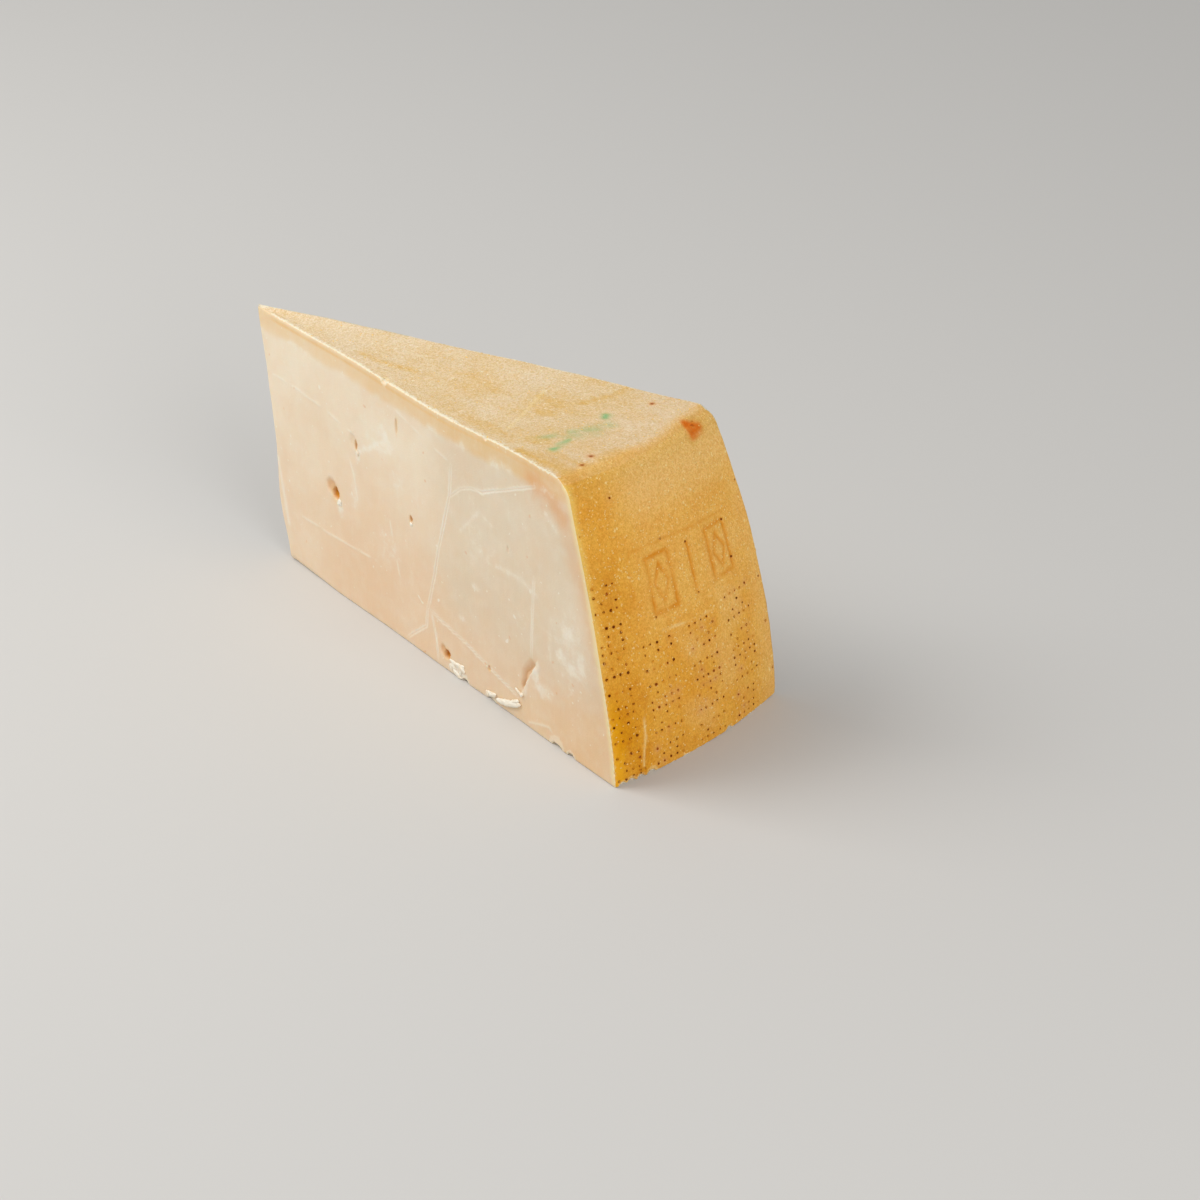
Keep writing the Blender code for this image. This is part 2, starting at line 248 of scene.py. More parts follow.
# Steps across in degrees and up, the share of pricks left out, and how far a lining stands over the rind
PRICK_TURN = 0.80
PRICK_RISE = 0.00295
MISSING_PRICKS = 0.08
PRICK_LIFT = 0.00003
PRICK_MOTIF = ("xxxxx", "x.x.x", ".x.x.", "xxxxx", ".....", "xxxxx", ".x.x.", "xxxxx")
# Pale smudges round the pricks, from this bearing on
SMUDGED_FROM = -7.5
SMUDGE_WIDTH = 0.0016
# Single pricks outside the bands: bearing and height
SINGLE_PRICKS = (
    (10.7, 0.0488),
    (10.6, 0.0314),
    (10.8, 0.0120),
    (11.0, 0.0850),
    (-6.4, 0.1005),
    (-10.9, 0.0915),
    (-1.6, 0.0805),
    (1.5, 0.0757),
    (1.7, 0.0567),
    (7.2, 0.0620),
    (7.3, 0.0755),
    (-4.0, 0.0552),
    (-8.3, 0.0032),
    (-7.7, 0.0030),
)
# Dark spots on the top: x, y and radius
TOP_SPOTS = (
    (0.1784, 0.0362, 0.0010),
    (0.1764, 0.0270, 0.0007),
    (0.1865, -0.0170, 0.0008),
    (0.1887, -0.0241, 0.0007),
    (0.1958, 0.0265, 0.0004),
    (0.1972, 0.0248, 0.0004),
    (0.1946, 0.0280, 0.0003),
)
# A three-cornered orange stain on the top's rim, and strokes of green ink: path, width and strength
STAIN_PATH = ((0.1938, 0.0240), (0.1968, 0.0290), (0.1980, 0.0238), (0.1938, 0.0240), (0.1965, 0.0258))
STAIN_WIDTH = 0.0014
INK_STROKES = (
    (((0.1725, -0.0214), (0.1727, -0.0120)), 0.0016, 0.90),
    (((0.1640, -0.0165), (0.1660, -0.0115)), 0.0022, 0.38),
    (((0.1682, -0.0078), (0.1741, 0.0010), (0.1750, 0.0050)), 0.0026, 0.38),
    (((0.1700, -0.0100), (0.1760, -0.0040)), 0.0024, 0.30),
    (((0.1690, 0.0104), (0.1702, 0.0084)), 0.0013, 0.90),
)

# A golden patch under the stain, as a row of the patches, and a deep one at the near corner of the rim
STAIN_GLOW = (0.1975, 0.0262, 0.0090, 0.0085, 0.75, 0.50)
DEEP_CORNER = (-9.6, 0.1085)
DEEP_CORNER_SIZE = (0.0060, 0.0034)

# Patches of paint: across, up, half width, half height, strength and turn. On the near cut across is the
# radius, and on the top across and up are x and y
NEAR_BLOTS = {
    "scuff": (
        (0.0800, 0.0780, 0.0200, 0.0100, 0.55, 0.00),
        (0.0873, 0.0790, 0.0060, 0.0045, 0.95, 0.00),
        (0.0640, 0.0500, 0.0050, 0.0120, 0.60, 0.00),
        (0.0860, 0.0360, 0.0110, 0.0090, 0.60, 0.00),
        (0.0929, 0.0661, 0.0060, 0.0060, 0.65, 0.00),
        (0.1080, 0.0680, 0.0090, 0.0120, 0.45, 0.00),
        (0.1450, 0.0620, 0.0160, 0.0120, 0.50, 0.00),
        (0.1430, 0.0441, 0.0035, 0.0020, 0.80, 0.00),
        (0.1328, 0.0265, 0.0030, 0.0018, 0.80, 0.00),
        (0.2000, 0.0430, 0.0160, 0.0260, 0.60, 0.00),
        (0.1994, 0.0509, 0.0055, 0.0050, 1.00, 0.00),
        (0.1957, 0.0391, 0.0060, 0.0045, 1.00, 0.00),
        (0.2067, 0.0420, 0.0045, 0.0090, 0.90, 0.00),
        (0.2020, 0.0370, 0.0070, 0.0045, 1.00, 0.00),
        (0.1883, 0.0420, 0.0022, 0.0120, 0.75, 0.00),
        (0.1788, 0.0235, 0.0032, 0.0060, 1.00, 0.00),
        (0.1830, 0.0196, 0.0080, 0.0040, 0.90, 0.00),
        (0.2050, 0.0150, 0.0090, 0.0090, 0.40, 0.00),
        (0.0545, 0.0385, 0.0030, 0.0040, 0.95, 0.00),
        (0.1020, 0.0515, 0.0018, 0.0020, 0.95, 0.00),
        (0.0672, 0.0660, 0.0016, 0.0028, 0.95, 0.00),
        (0.1300, 0.0030, 0.0080, 0.0030, 0.95, 0.00),
    ),
    # The amber and deep amber patches at the outer end of the foot darken and warm the paste there: partly
    # its own tone, partly painted shade
    "amber": (
        (0.2150, 0.0060, 0.0280, 0.0260, 0.30, 0.00),
        (0.1850, 0.0080, 0.0260, 0.0140, 0.16, 0.00),
    ),
    "amber_deep": ((0.2130, 0.0100, 0.0320, 0.0300, 0.16, 0.00),),
}
TOP_BLOTS = {
    "golden": (
        (0.0810, -0.0055, 0.0170, 0.0026, 0.60, 0.10),
        (0.0640, -0.0060, 0.0060, 0.0016, 0.50, 0.00),
        (0.1500, -0.0010, 0.0085, 0.0045, 0.65, 0.20),
        (0.1640, -0.0190, 0.0090, 0.0060, 0.65, 0.60),
        (0.1780, -0.0300, 0.0180, 0.0080, 0.62, 0.00),
        (0.1783, 0.0170, 0.0100, 0.0080, 0.40, 0.00),
        (0.1900, -0.0120, 0.0040, 0.0120, 0.60, 0.10),
        (0.1400, -0.0215, 0.0300, 0.0050, 0.55, -0.16),
    ),
    "scuff": (
        (0.0800, 0.0045, 0.0130, 0.0036, 0.90, 0.00),
        (0.1820, 0.0080, 0.0100, 0.0160, 0.70, 0.00),
    ),
}
# Strokes of paint: path, width and strength
NEAR_STROKES = {
    "scuff": (
        (((0.0660, 0.0672), (0.0765, 0.0739), (0.0873, 0.0811), (0.0836, 0.0850)), 0.0020, 1.00),
        (((0.0765, 0.0739), (0.0892, 0.0765)), 0.0014, 0.85),
        (((0.1340, 0.0640), (0.1400, 0.0705), (0.1460, 0.0767), (0.1530, 0.0740)), 0.0014, 0.75),
        (((0.1560, 0.0590), (0.1690, 0.0600), (0.1800, 0.0578)), 0.0014, 0.80),
        (((0.1860, 0.0930), (0.1925, 0.0890)), 0.0016, 0.90),
    ),
    "amber_deep": (
        (((0.178, 0.1030), (0.188, 0.1010), (0.196, 0.0960)), 0.0052, 0.66),
        (((0.196, 0.0960), (0.209, 0.0680)), 0.0048, 0.30),
        (((0.208, 0.0680), (0.2175, 0.0250)), 0.0042, 0.20),
    ),
    "pale_line": ((((0.0110, 0.0420), (0.0170, 0.0160)), 0.0009, 0.55),),
}
TOP_STROKES = {
    "golden": (
        (((0.1560, 0.0120), (0.1610, 0.0230), (0.1620, 0.0350)), 0.0034, 0.70),
        (((0.1640, -0.0300), (0.1880, -0.0320)), 0.0034, 0.80),
        (((0.1720, -0.0235), (0.1900, -0.0240)), 0.0030, 0.62),
    ),
    "pale_line": ((((0.1486, -0.0201), (0.1384, 0.0114)), 0.0005, 0.40),),
}


def shade(red, green, blue):
    """Linear colour of a shade that is given from 0 to 255."""
    def linear(value):
        value /= 255
        return value / 12.92 if value <= 0.04045 else ((value + 0.055) / 1.055) ** 2.4
    return linear(red), linear(green), linear(blue)


# Shades of the paste
PASTE_PALE = shade(245, 230, 204)
PASTE_WARM = shade(238, 206, 170)
PASTE_GREY = shade(226, 210, 183)
AMBER = shade(237, 195, 126)
AMBER_DEEP = shade(230, 166, 100)
SCUFF = shade(250, 244, 228)
# Pale of the scraped edges; along the top edges it is partly painted highlight
IVORY = shade(242, 231, 204)
EDGE_CREAM = shade(247, 231, 178)
EYE_BROWN = shade(214, 138, 4)

# Shades of the rind
RIND_GOLD = shade(234, 178, 74)
RIND_ORANGE = shade(228, 158, 48)
RIND_DEEP = shade(216, 146, 2)
RIND_AMBER = shade(198, 112, 0)
RIND_TOP = shade(232, 213, 182)
RIND_TOP_GOLD = shade(222, 180, 94)
RIND_TOP_PALE = shade(247, 233, 205)
RIND_PALE = shade(250, 226, 160)
RIND_FAINT = shade(240, 201, 132)
EDGE_YELLOW = shade(238, 204, 108)
EDGE_BRIGHT = shade(244, 176, 0)
FLECK_PALE = shade(246, 212, 138)
FLECK_GOLD = shade(238, 194, 108)
FURROW = shade(216, 136, 18)
STAIN = shade(218, 106, 0)
INK = shade(118, 182, 118)
SMUDGE = shade(216, 160, 114)
PRICK_BROWN = shade(84, 24, 0)
PRICK_WORN = shade(176, 92, 26)
SPOT_BROWN = shade(150, 66, 0)

# Tints that the rind's grain multiplies its colour with: in its hollows, on its crests, and evened out
GRAIN_LOW = (0.93, 0.86, 0.72)
GRAIN_HIGH = (1.04, 1.035, 1.06)
GRAIN_PLAIN = (0.975, 0.955, 0.90)
FINE_GRAIN_LOW = (0.94, 0.92, 0.82)
FINE_GRAIN_HIGH = (1.04, 1.045, 1.10)

# Patterns of the materials. Grain: its wave, and the wave of the drag marks
PASTE_GRAIN = (0.0007, 0.0014)
RIND_GRAIN = (0.0012, 0.0030)
RIND_FINE_GRAIN = (0.0006, 0.0012)
CRUST_GRAIN = (0.0003, 0.0010)
TORN_GRAIN = (0.0005, 0.0010)
# Mottling: its wave, and where its noise starts and ends to show
PASTE_PATCHES = (0.018, 0.36, 0.70)
PASTE_CLOUDS = (0.0060, 0.42, 0.72)
SIDE_CLOUDS = (0.013, 0.36, 0.68)
SIDE_SPOTS = (0.0040, 0.50, 0.70)
SIDE_BLOTCHES = (0.0075, 0.46, 0.66)
TOP_CLOUDS = (0.012, 0.36, 0.70)
CRUST_SPOTS = (0.0006, 0.35, 0.65)
FLECK_CLOUDS = (0.0040, 0.35, 0.65)
TORN_CLOUDS = (0.0022, 0.40, 0.70)
# Specks: their distance, the share of it that they fill, and the share of places that have one
PASTE_FLECKS = (0.0036, 0.14, 0.40)
PASTE_NICKS = (0.0110, 0.09, 0.55)
TAN_SPECKS = (0.0090, 0.10, 0.45)
LARGE_DOTS = (0.0030, 0.20, 0.50)
SMALL_DOTS = (0.0015, 0.26, 0.50)
# Ragged paint: the wave of its teeth, how much of it is left, and how soft it is
PASTE_WISPS = (0.0030, 0.62, 0.30)
RIND_SCUFFS = (0.0030, 0.60)
TOP_PATCHES = (0.0028, 0.85, 0.30)
RIDGE_TEETH = 0.0011
# Largest heights of the bumps
PASTE_BUMP = 0.00022
RIND_BUMP = 0.00030
CRUST_BUMP = 0.00008
FLECK_BUMP = 0.00006
TORN_BUMP = 0.00015

# Where the paint of the cuts starts and ends to fade, from the edge that it follows or from the tip or base
AMBER_BAND = (0.0066, 0.0100)
AMBER_GROWS = (0.02, 0.20)
PALE_BAND_START = (0.0040, 0.0080)
PALE_BAND_END = (0.0085, 0.0110)
SIDE_BAND = (0.0012, 0.0060)
CREAM_STRIP = (0.0006, 0.0032)
ORANGE_FROM_TIP = (0.150, 0.195)
ORANGE_UNDER_TOP = (0.004, 0.014)
WARM_UP_TO = (0.012, 0.085)
WARM_FROM_TIP = (0.010, 0.075)
GREY_FROM_TIP = (0.105, 0.135)
GREY_FROM_BASE = (0.016, 0.040)
RIDGE_FROM_RIND = (0.001, 0.007)
RIDGE_FROM_TIP = (0.002, 0.015)
FAR_RIDGE_WIDTH = 0.0022
RIDGE_SHADOW = 0.0020
RIDGE_SHADOW_WIDTH = 0.0012

# The same for the paint of the rind, with the golden crease behind the rim
TOP_RIND_FROM_RIM = (0.0000, 0.0085)
GOLD_FROM_TIP = (0.045, 0.120)
GOLD_WEAKENS = (0.150, 0.185)
PALE_TOP_ENDS = (0.130, 0.165)
SMUDGE_FROM_TIP = (0.160, 0.185)
DEEP_WEAKENS_UP = (0.066, 0.096)
DEEP_OFF_CORNER = (0.0015, 0.0050)
GOLD_RIM = (0.0975, 0.1080)
CORNER_UP_TO = (0.022, 0.056)
LOWER_UP_TO = (0.030, 0.060)
FAINT_UPPER = (0.076, 0.102)
FAINT_MIDDLE = (0.042, 0.058)
PALE_EDGES = (0.0003, 0.0012)
YELLOW_EDGE = (0.0001, 0.0032)
YELLOW_EDGE_GROWS = (0.030, 0.075)
BRIGHT_STRIP = (0.0015, 0.0075)
BRIGHT_UP_TO = (0.020, 0.042)
RIM_FROM = 0.1045
CREASE_PLACE = 0.0040
CREASE_WIDTH = 0.0055

# The camera, and the place that it looks at
CAMERA_PLACE = (0.9416, -0.9825, 0.7927)
CAMERA_TARGET = (0.0143, 0.0527, 0.0000)
CAMERA_LENS = 125.4
SENSOR = 36.0

# The floor and the lights
FLOOR_HALF = 4.0
LIGHT_TARGET = (0.0, 0.0, 0.05)
KEY_PLACE = (-0.75, -0.50, 1.00)
KEY_SIZE = 0.8
KEY_COLOUR = (1.0, 0.985, 0.96)
FILL_PLACE = (1.50, -0.50, 0.80)
FILL_SIZE = 1.0
FILL_COLOUR = (1.0, 0.99, 0.98)


class CheeseForm(bpy.types.PropertyGroup):
    ridge_height: FloatProperty(
        name="Ridge Height",
        description="How far the scraped ridge along the near top edge stands up",
        default=0.00032,
        unit="LENGTH",
    )
    ridge_width: FloatProperty(
        name="Ridge Width",
        description="Width of the scraped ridge",
        default=0.0009,
        unit="LENGTH",
    )
    cut_flaking: FloatProperty(
        name="Cut Flaking",
        description="Height of the broken grain in the cut faces",
        default=0.00012,
        unit="LENGTH",
    )
    rind_wrinkling: FloatProperty(
        name="Rind Wrinkling",
        description="Height of the small wrinkles in the rind",
        default=0.00010,
        unit="LENGTH",
    )


class CheeseColours(bpy.types.PropertyGroup):
    paste: FloatVectorProperty(
        name="Paste",
        description="Colour of the cut paste where it is palest",
        default=PASTE_PALE,
        subtype="COLOR",
        min=0.0,
        max=1.0,
    )
    amber: FloatVectorProperty(
        name="Under Rind",
        description="Colour of the dry band under the top rind",
        default=AMBER,
        subtype="COLOR",
        min=0.0,
        max=1.0,
    )
    side: FloatVectorProperty(
        name="Side Rind",
        description="Main colour of the bulged side",
        default=RIND_GOLD,
        subtype="COLOR",
        min=0.0,
        max=1.0,
    )
    top: FloatVectorProperty(
        name="Top Rind",
        description="Main colour of the top",
        default=RIND_TOP,
        subtype="COLOR",
        min=0.0,
        max=1.0,
    )


class CheesePricks(bpy.types.PropertyGroup):
    radius: FloatProperty(
        name="Radius",
        description="Radius of one prick in the rind",
        default=0.00050,
        unit="LENGTH",
    )
    depth: FloatProperty(
        name="Depth",
        description="Depth of one prick",
        default=0.00045,
        unit="LENGTH",
    )
    jitter: FloatProperty(
        name="Unevenness",
        description="How far a prick may lie from its place in the ornament",
        default=0.00025,
        unit="LENGTH",
    )
    seed: IntProperty(name="Seed", description="Seed of the pricks' unevenness", default=5)


class CheeseFlecks(bpy.types.PropertyGroup):
    radius: FloatProperty(
        name="Radius",
        description="Radius of the largest pale fleck on the rind",
        default=0.00052,
        unit="LENGTH",
    )
    density: FloatProperty(
        name="Density",
        description="Flecks on each square metre of rind, where they lie closest",
        default=110000.0,
    )
    seed: IntProperty(name="Seed", description="Seed of the flecks' places and sizes", default=3)


class CheeseStage(bpy.types.PropertyGroup):
    floor: FloatVectorProperty(
        name="Floor",
        description="Colour of the plain floor",
        default=(0.62, 0.61, 0.59),
        subtype="COLOR",
        min=0.0,
        max=1.0,
    )
    key: FloatProperty(
        name="Key Light",
        description="Power of the large soft light at the left",
        default=11.5,
        unit="POWER",
    )
    fill: FloatProperty(
        name="Fill Light",
        description="Power of the soft light on the rind's side",
        default=13.0,
        unit="POWER",
    )
    surround: FloatProperty(
        name="Surround",
        description="Strength of the even light from all round",
        default=0.42,
    )


def place_node(tree, kind, inputs=None, **settings):
    """Adds a node: settings are its own values, and inputs are values or sockets for its sockets."""
    made = tree.nodes.new(kind)
    for name, value in settings.items():
        setattr(made, name, value)
    for name, value in (inputs or {}).items():
        if isinstance(value, bpy.types.NodeSocket):
            tree.links.new(value, made.inputs[name])
        else:
            made.inputs[name].default_value = value
    return made


def calculate(tree, operation, first, second=0.0, clamp=False):
    made = place_node(tree, "ShaderNodeMath", {0: first, 1: second}, operation=operation, use_clamp=clamp)
    return made.outputs[0]


def combine(tree, operation, inputs):
    """A calculation with vectors."""
    return place_node(tree, "ShaderNodeVectorMath", inputs, operation=operation).outputs["Vector"]


def product(tree, first, second):
    return calculate(tree, "MULTIPLY", first, second)


def ease(tree, value, low, high):
    """0 below low and 1 above high, with a smooth step between them."""
    values = {"Value": value, "From Min": low, "From Max": high}
    made = place_node(tree, "ShaderNodeMapRange", values, interpolation_type="SMOOTHSTEP")
    return made.outputs["Result"]


def mix_colours(tree, share, first, second, blend="MIX"):
    made = place_node(tree, "ShaderNodeMix", data_type="RGBA", blend_type=blend)
    factor, low, high = made.inputs["Factor"], made.inputs[6], made.inputs[7]
    for socket, value in ((factor, share), (low, first), (high, second)):
        if isinstance(value, bpy.types.NodeSocket):
            tree.links.new(value, socket)
        elif socket is factor:
            socket.default_value = value
        else:
            socket.default_value = (*value, 1.0)
    return made.outputs[2]


def coat(tree, colour, layers):
    """Lays colours over a first one: each layer is its share and its colour."""
    for share, tint in layers:
        colour = mix_colours(tree, share, colour, tint)
    return colour


def painted(tree, name):
    """A value that the mesh holds for each of its corners."""
    return place_node(tree, "ShaderNodeAttribute", attribute_name=name).outputs["Fac"]


def new_group(name, inputs, outputs):
    """An empty shader node group with number sockets. Inputs are pairs of name and first value."""
    tree = bpy.data.node_groups.new(name, "ShaderNodeTree")
    for socket_name, value in inputs:
        socket = tree.interface.new_socket(socket_name, in_out="INPUT", socket_type="NodeSocketFloat")
        socket.default_value = value
    for socket_name in outputs:
        tree.interface.new_socket(socket_name, in_out="OUTPUT", socket_type="NodeSocketFloat")
    return tree, tree.nodes.new("NodeGroupInput").outputs, tree.nodes.new("NodeGroupOutput").inputs


def object_place(tree, stretch=None):
    place = place_node(tree, "ShaderNodeTexCoord").outputs["Object"]
    if stretch is None:
        return place
    return place_node(tree, "ShaderNodeMapping", {"Vector": place, "Scale": stretch}).outputs["Vector"]


def mottling_group():
    """Soft blotches: Wave is their length, and Low and High are where the noise starts and ends to show."""
    tree, given, wanted = new_group("mottling", (("Wave", 0.01), ("Low", 0.4), ("High", 0.6)), ("Amount",))
    finer = calculate(tree, "DIVIDE", 1.0, given["Wave"])
    values = {"Vector": object_place(tree), "Scale": finer, "Detail": 4.0, "Roughness": 0.55}
    cloud = place_node(tree, "ShaderNodeTexNoise", values)
    tree.links.new(ease(tree, cloud.outputs["Fac"], given["Low"], given["High"]), wanted["Amount"])
    return tree


def grain_group():
    """Fine broken grain, and drag marks that run up and down, as two heights from 0 to 1."""
    tree, given, wanted = new_group("grain", (("Wave", 0.0008), ("Drag Wave", 0.002)), ("Grain", "Drag"))
    finer = calculate(tree, "DIVIDE", 1.0, given["Wave"])
    values = {"Vector": object_place(tree), "Scale": finer, "Detail": 3.0, "Roughness": 0.65}
    grain = place_node(tree, "ShaderNodeTexNoise", values)
    coarser = calculate(tree, "DIVIDE", 1.0, given["Drag Wave"])
    stretched = object_place(tree, (1.0, 1.0, 0.12))
    drag = place_node(tree, "ShaderNodeTexNoise", {"Vector": stretched, "Scale": coarser, "Detail": 2.0})
    tree.links.new(grain.outputs["Fac"], wanted["Grain"])
    tree.links.new(drag.outputs["Fac"], wanted["Drag"])
    return tree


def specks_group():
    """Small round specks: Wave is their distance, Size their share of it, Share how many cells have one."""
    inputs = (("Wave", 0.002), ("Size", 0.25), ("Share", 0.5))
    tree, given, wanted = new_group("specks", inputs, ("Mask",))
    finer = calculate(tree, "DIVIDE", 1.0, given["Wave"])
    values = {"Vector": object_place(tree), "Scale": finer, "Detail": 2.0}
    bent = place_node(tree, "ShaderNodeTexNoise", values).outputs["Color"]
    reach = product(tree, given["Wave"], 0.9)
    centred = combine(tree, "SUBTRACT", {0: bent, 1: (0.5, 0.5, 0.5)})
    pushed = combine(tree, "SCALE", {0: centred, "Scale": reach})
    uneven = combine(tree, "ADD", {0: object_place(tree), 1: pushed})
    cells = place_node(tree, "ShaderNodeTexVoronoi", {"Vector": uneven, "Scale": finer})
    drawn = place_node(tree, "ShaderNodeSeparateColor", {"Color": cells.outputs["Color"]}).outputs["Red"]
    chosen = calculate(tree, "LESS_THAN", drawn, given["Share"])
    inner = product(tree, given["Size"], 0.5)
    outside = ease(tree, cells.outputs["Distance"], inner, given["Size"])
    inside = calculate(tree, "SUBTRACT", 1.0, outside)
    tree.links.new(product(tree, inside, chosen), wanted["Mask"])
    return tree


# Amount of paint at which a ragged outline runs
RAGGED_LEVEL = 0.53


def ragged_group():
    """Gives soft paint a ragged outline: Wave is the length of its teeth, Soft how soft it stays."""
    inputs = (("Amount", 0.0), ("Wave", 0.001), ("Soft", 0.13))
    tree, given, wanted = new_group("ragged_outline", inputs, ("Mask",))
    finer = calculate(tree, "DIVIDE", 1.0, given["Wave"])
    values = {"Vector": object_place(tree), "Scale": finer, "Detail": 6.0, "Roughness": 0.70}
    teeth = place_node(tree, "ShaderNodeTexNoise", values).outputs["Fac"]
    shifted = product(tree, calculate(tree, "SUBTRACT", teeth, 0.5), 1.4)
    low = calculate(tree, "SUBTRACT", RAGGED_LEVEL, given["Soft"])
    high = calculate(tree, "ADD", RAGGED_LEVEL, given["Soft"])
    tree.links.new(ease(tree, calculate(tree, "ADD", given["Amount"], shifted), low, high), wanted["Mask"])
    return tree


class Finishes:
    """The shared node groups, and the materials made with them."""

    def __init__(self, scene):
        self.colours = scene.cheese_colours
        self.mottling_tree = mottling_group()
        self.grain_tree = grain_group()
        self.specks_tree = specks_group()
        self.ragged_tree = ragged_group()

    def new(self, name, colour, roughness, **inputs):
        """An empty material. Inputs are more values for its shader's sockets, with lines under for spaces."""
        made = bpy.data.materials.new(name)
        made.use_nodes = True
        made.diffuse_color = (*colour, 1.0)
        shader = made.node_tree.nodes["Principled BSDF"]
        shader.inputs["Base Color"].default_value = (*colour, 1.0)
        shader.inputs["Roughness"].default_value = roughness
        for socket_name, value in inputs.items():
            shader.inputs[socket_name.replace("_", " ")].default_value = value
        return made, made.node_tree, shader

    def group(self, tree, group_tree, **values):
        inputs = {name.replace("_", " "): value for name, value in values.items()}
        return place_node(tree, "ShaderNodeGroup", inputs, node_tree=group_tree).outputs

    def mottling(self, tree, wave, low, high):
        return self.group(tree, self.mottling_tree, Wave=wave, Low=low, High=high)["Amount"]

    def grain(self, tree, wave, drag_wave):
        return self.group(tree, self.grain_tree, Wave=wave, Drag_Wave=drag_wave)

    def specks(self, tree, wave, size, share):
        return self.group(tree, self.specks_tree, Wave=wave, Size=size, Share=share)["Mask"]

    def ragged(self, tree, name, wave, share=1.0, soft=0.13):
        """Paint of this name with a ragged outline. A share under 1 thins it out into wisps."""
        amount = product(tree, painted(tree, name), share)
        return self.group(tree, self.ragged_tree, Amount=amount, Wave=wave, Soft=soft)["Mask"]

    def bump(self, tree, shader, height, distance):
        """Feeds a height from 0 to 1 into the shader's normal."""
        values = {"Height": height, "Distance": distance, "Strength": 1.0}
        made = place_node(tree, "ShaderNodeBump", values)
        tree.links.new(made.outputs["Normal"], shader.inputs["Normal"])

    def roughen(self, tree, shader, height, low, high):
        """Roughness from low to high along with a height from 0 to 1."""
        values = {"Value": height, "To Min": low, "To Max": high}
        made = place_node(tree, "ShaderNodeMapRange", values)
        tree.links.new(made.outputs["Result"], shader.inputs["Roughness"])

    def paste(self):
        """Cut paste, with a dry amber band under the rind, pale clouds and fine specks."""
        material, tree, shader = self.new(
            "cheese_paste",
            self.colours.paste,
            0.50,
            Subsurface_Weight=0.25,
            Subsurface_Radius=(1.0, 0.62, 0.36),
            Subsurface_Scale=0.003,
            Specular_IOR_Level=0.40,
        )
        heights = self.grain(tree, *PASTE_GRAIN)
        wisps = product(tree, self.ragged(tree, "scuff", *PASTE_WISPS), 0.46)
        haze = product(tree, painted(tree, "scuff"), 0.22)
        flecks = product(tree, self.specks(tree, *PASTE_FLECKS), 0.55)
        nicks = product(tree, self.specks(tree, *PASTE_NICKS), 0.65)
        colour = coat(tree, tuple(self.colours.paste), (
            (painted(tree, "warm"), PASTE_WARM),
            (painted(tree, "grey"), PASTE_GREY),
            (product(tree, self.mottling(tree, *PASTE_PATCHES), 0.35), PASTE_WARM),
            (painted(tree, "amber"), tuple(self.colours.amber)),
            (painted(tree, "amber_deep"), AMBER_DEEP),
            (product(tree, ease(tree, heights["Drag"], 0.48, 0.72), 0.04), SCUFF),
            (product(tree, self.mottling(tree, *PASTE_CLOUDS), 0.11), SCUFF),
            (calculate(tree, "ADD", wisps, haze), SCUFF),
            (painted(tree, "pale_line"), SCUFF),
            (calculate(tree, "MAXIMUM", flecks, nicks), SCUFF),
            (product(tree, self.specks(tree, *TAN_SPECKS), 0.40), AMBER_DEEP),
            (painted(tree, "edge"), EDGE_CREAM),
            (self.ragged(tree, "ridge", RIDGE_TEETH), IVORY),
            (painted(tree, "brown"), EYE_BROWN),
        ))
        tree.links.new(colour, shader.inputs["Base Color"])
        self.roughen(tree, shader, heights["Grain"], 0.42, 0.62)
        grain, drag = product(tree, heights["Grain"], 0.5), product(tree, heights["Drag"], 0.22)
        self.bump(tree, shader, calculate(tree, "ADD", grain, drag), PASTE_BUMP)
        return material

    def rind(self):
        """Golden rind of the side and paler rind of the top, with two sizes of grain and of dots."""
        material, tree, shader = self.new(
            "cheese_rind",
            self.colours.side,
            0.55,
            Subsurface_Weight=0.10,
            Subsurface_Radius=(1.0, 0.55, 0.20),
            Subsurface_Scale=0.002,
            Specular_IOR_Level=0.15,
        )
        deep, on_top = painted(tree, "deep"), painted(tree, "top")
        blotches = product(tree, self.mottling(tree, *SIDE_BLOTCHES), 0.50)
        side = coat(tree, tuple(self.colours.side), (
            (product(tree, self.mottling(tree, *SIDE_CLOUDS), 0.50), RIND_ORANGE),
            (product(tree, self.mottling(tree, *SIDE_SPOTS), 0.38), RIND_ORANGE),
            (painted(tree, "faint"), RIND_FAINT),
            (deep, RIND_DEEP),
            (product(tree, blotches, deep), RIND_AMBER),
        ))
        clouds = product(tree, self.mottling(tree, *TOP_CLOUDS), 0.20)
        top = mix_colours(tree, clouds, tuple(self.colours.top), RIND_TOP_GOLD)
        patches = product(tree, self.ragged(tree, "golden", *TOP_PATCHES), 0.38)
        golden = calculate(tree, "ADD", patches, product(tree, painted(tree, "golden"), 0.62))
        colour = coat(tree, side, ((on_top, top), (golden, RIND_TOP_GOLD)))

        heights, fine = self.grain(tree, *RIND_GRAIN), self.grain(tree, *RIND_FINE_GRAIN)
        coarse_tint = mix_colours(tree, ease(tree, heights["Grain"], 0.36, 0.64), GRAIN_LOW, GRAIN_HIGH)
        coarse_tint = mix_colours(tree, product(tree, on_top, 0.20), coarse_tint, GRAIN_PLAIN)
        fine_tint = mix_colours(tree, ease(tree, fine["Grain"], 0.36, 0.64), FINE_GRAIN_LOW, FINE_GRAIN_HIGH)
        for tint in (coarse_tint, fine_tint):
            colour = mix_colours(tree, 1.0, colour, tint, "MULTIPLY")

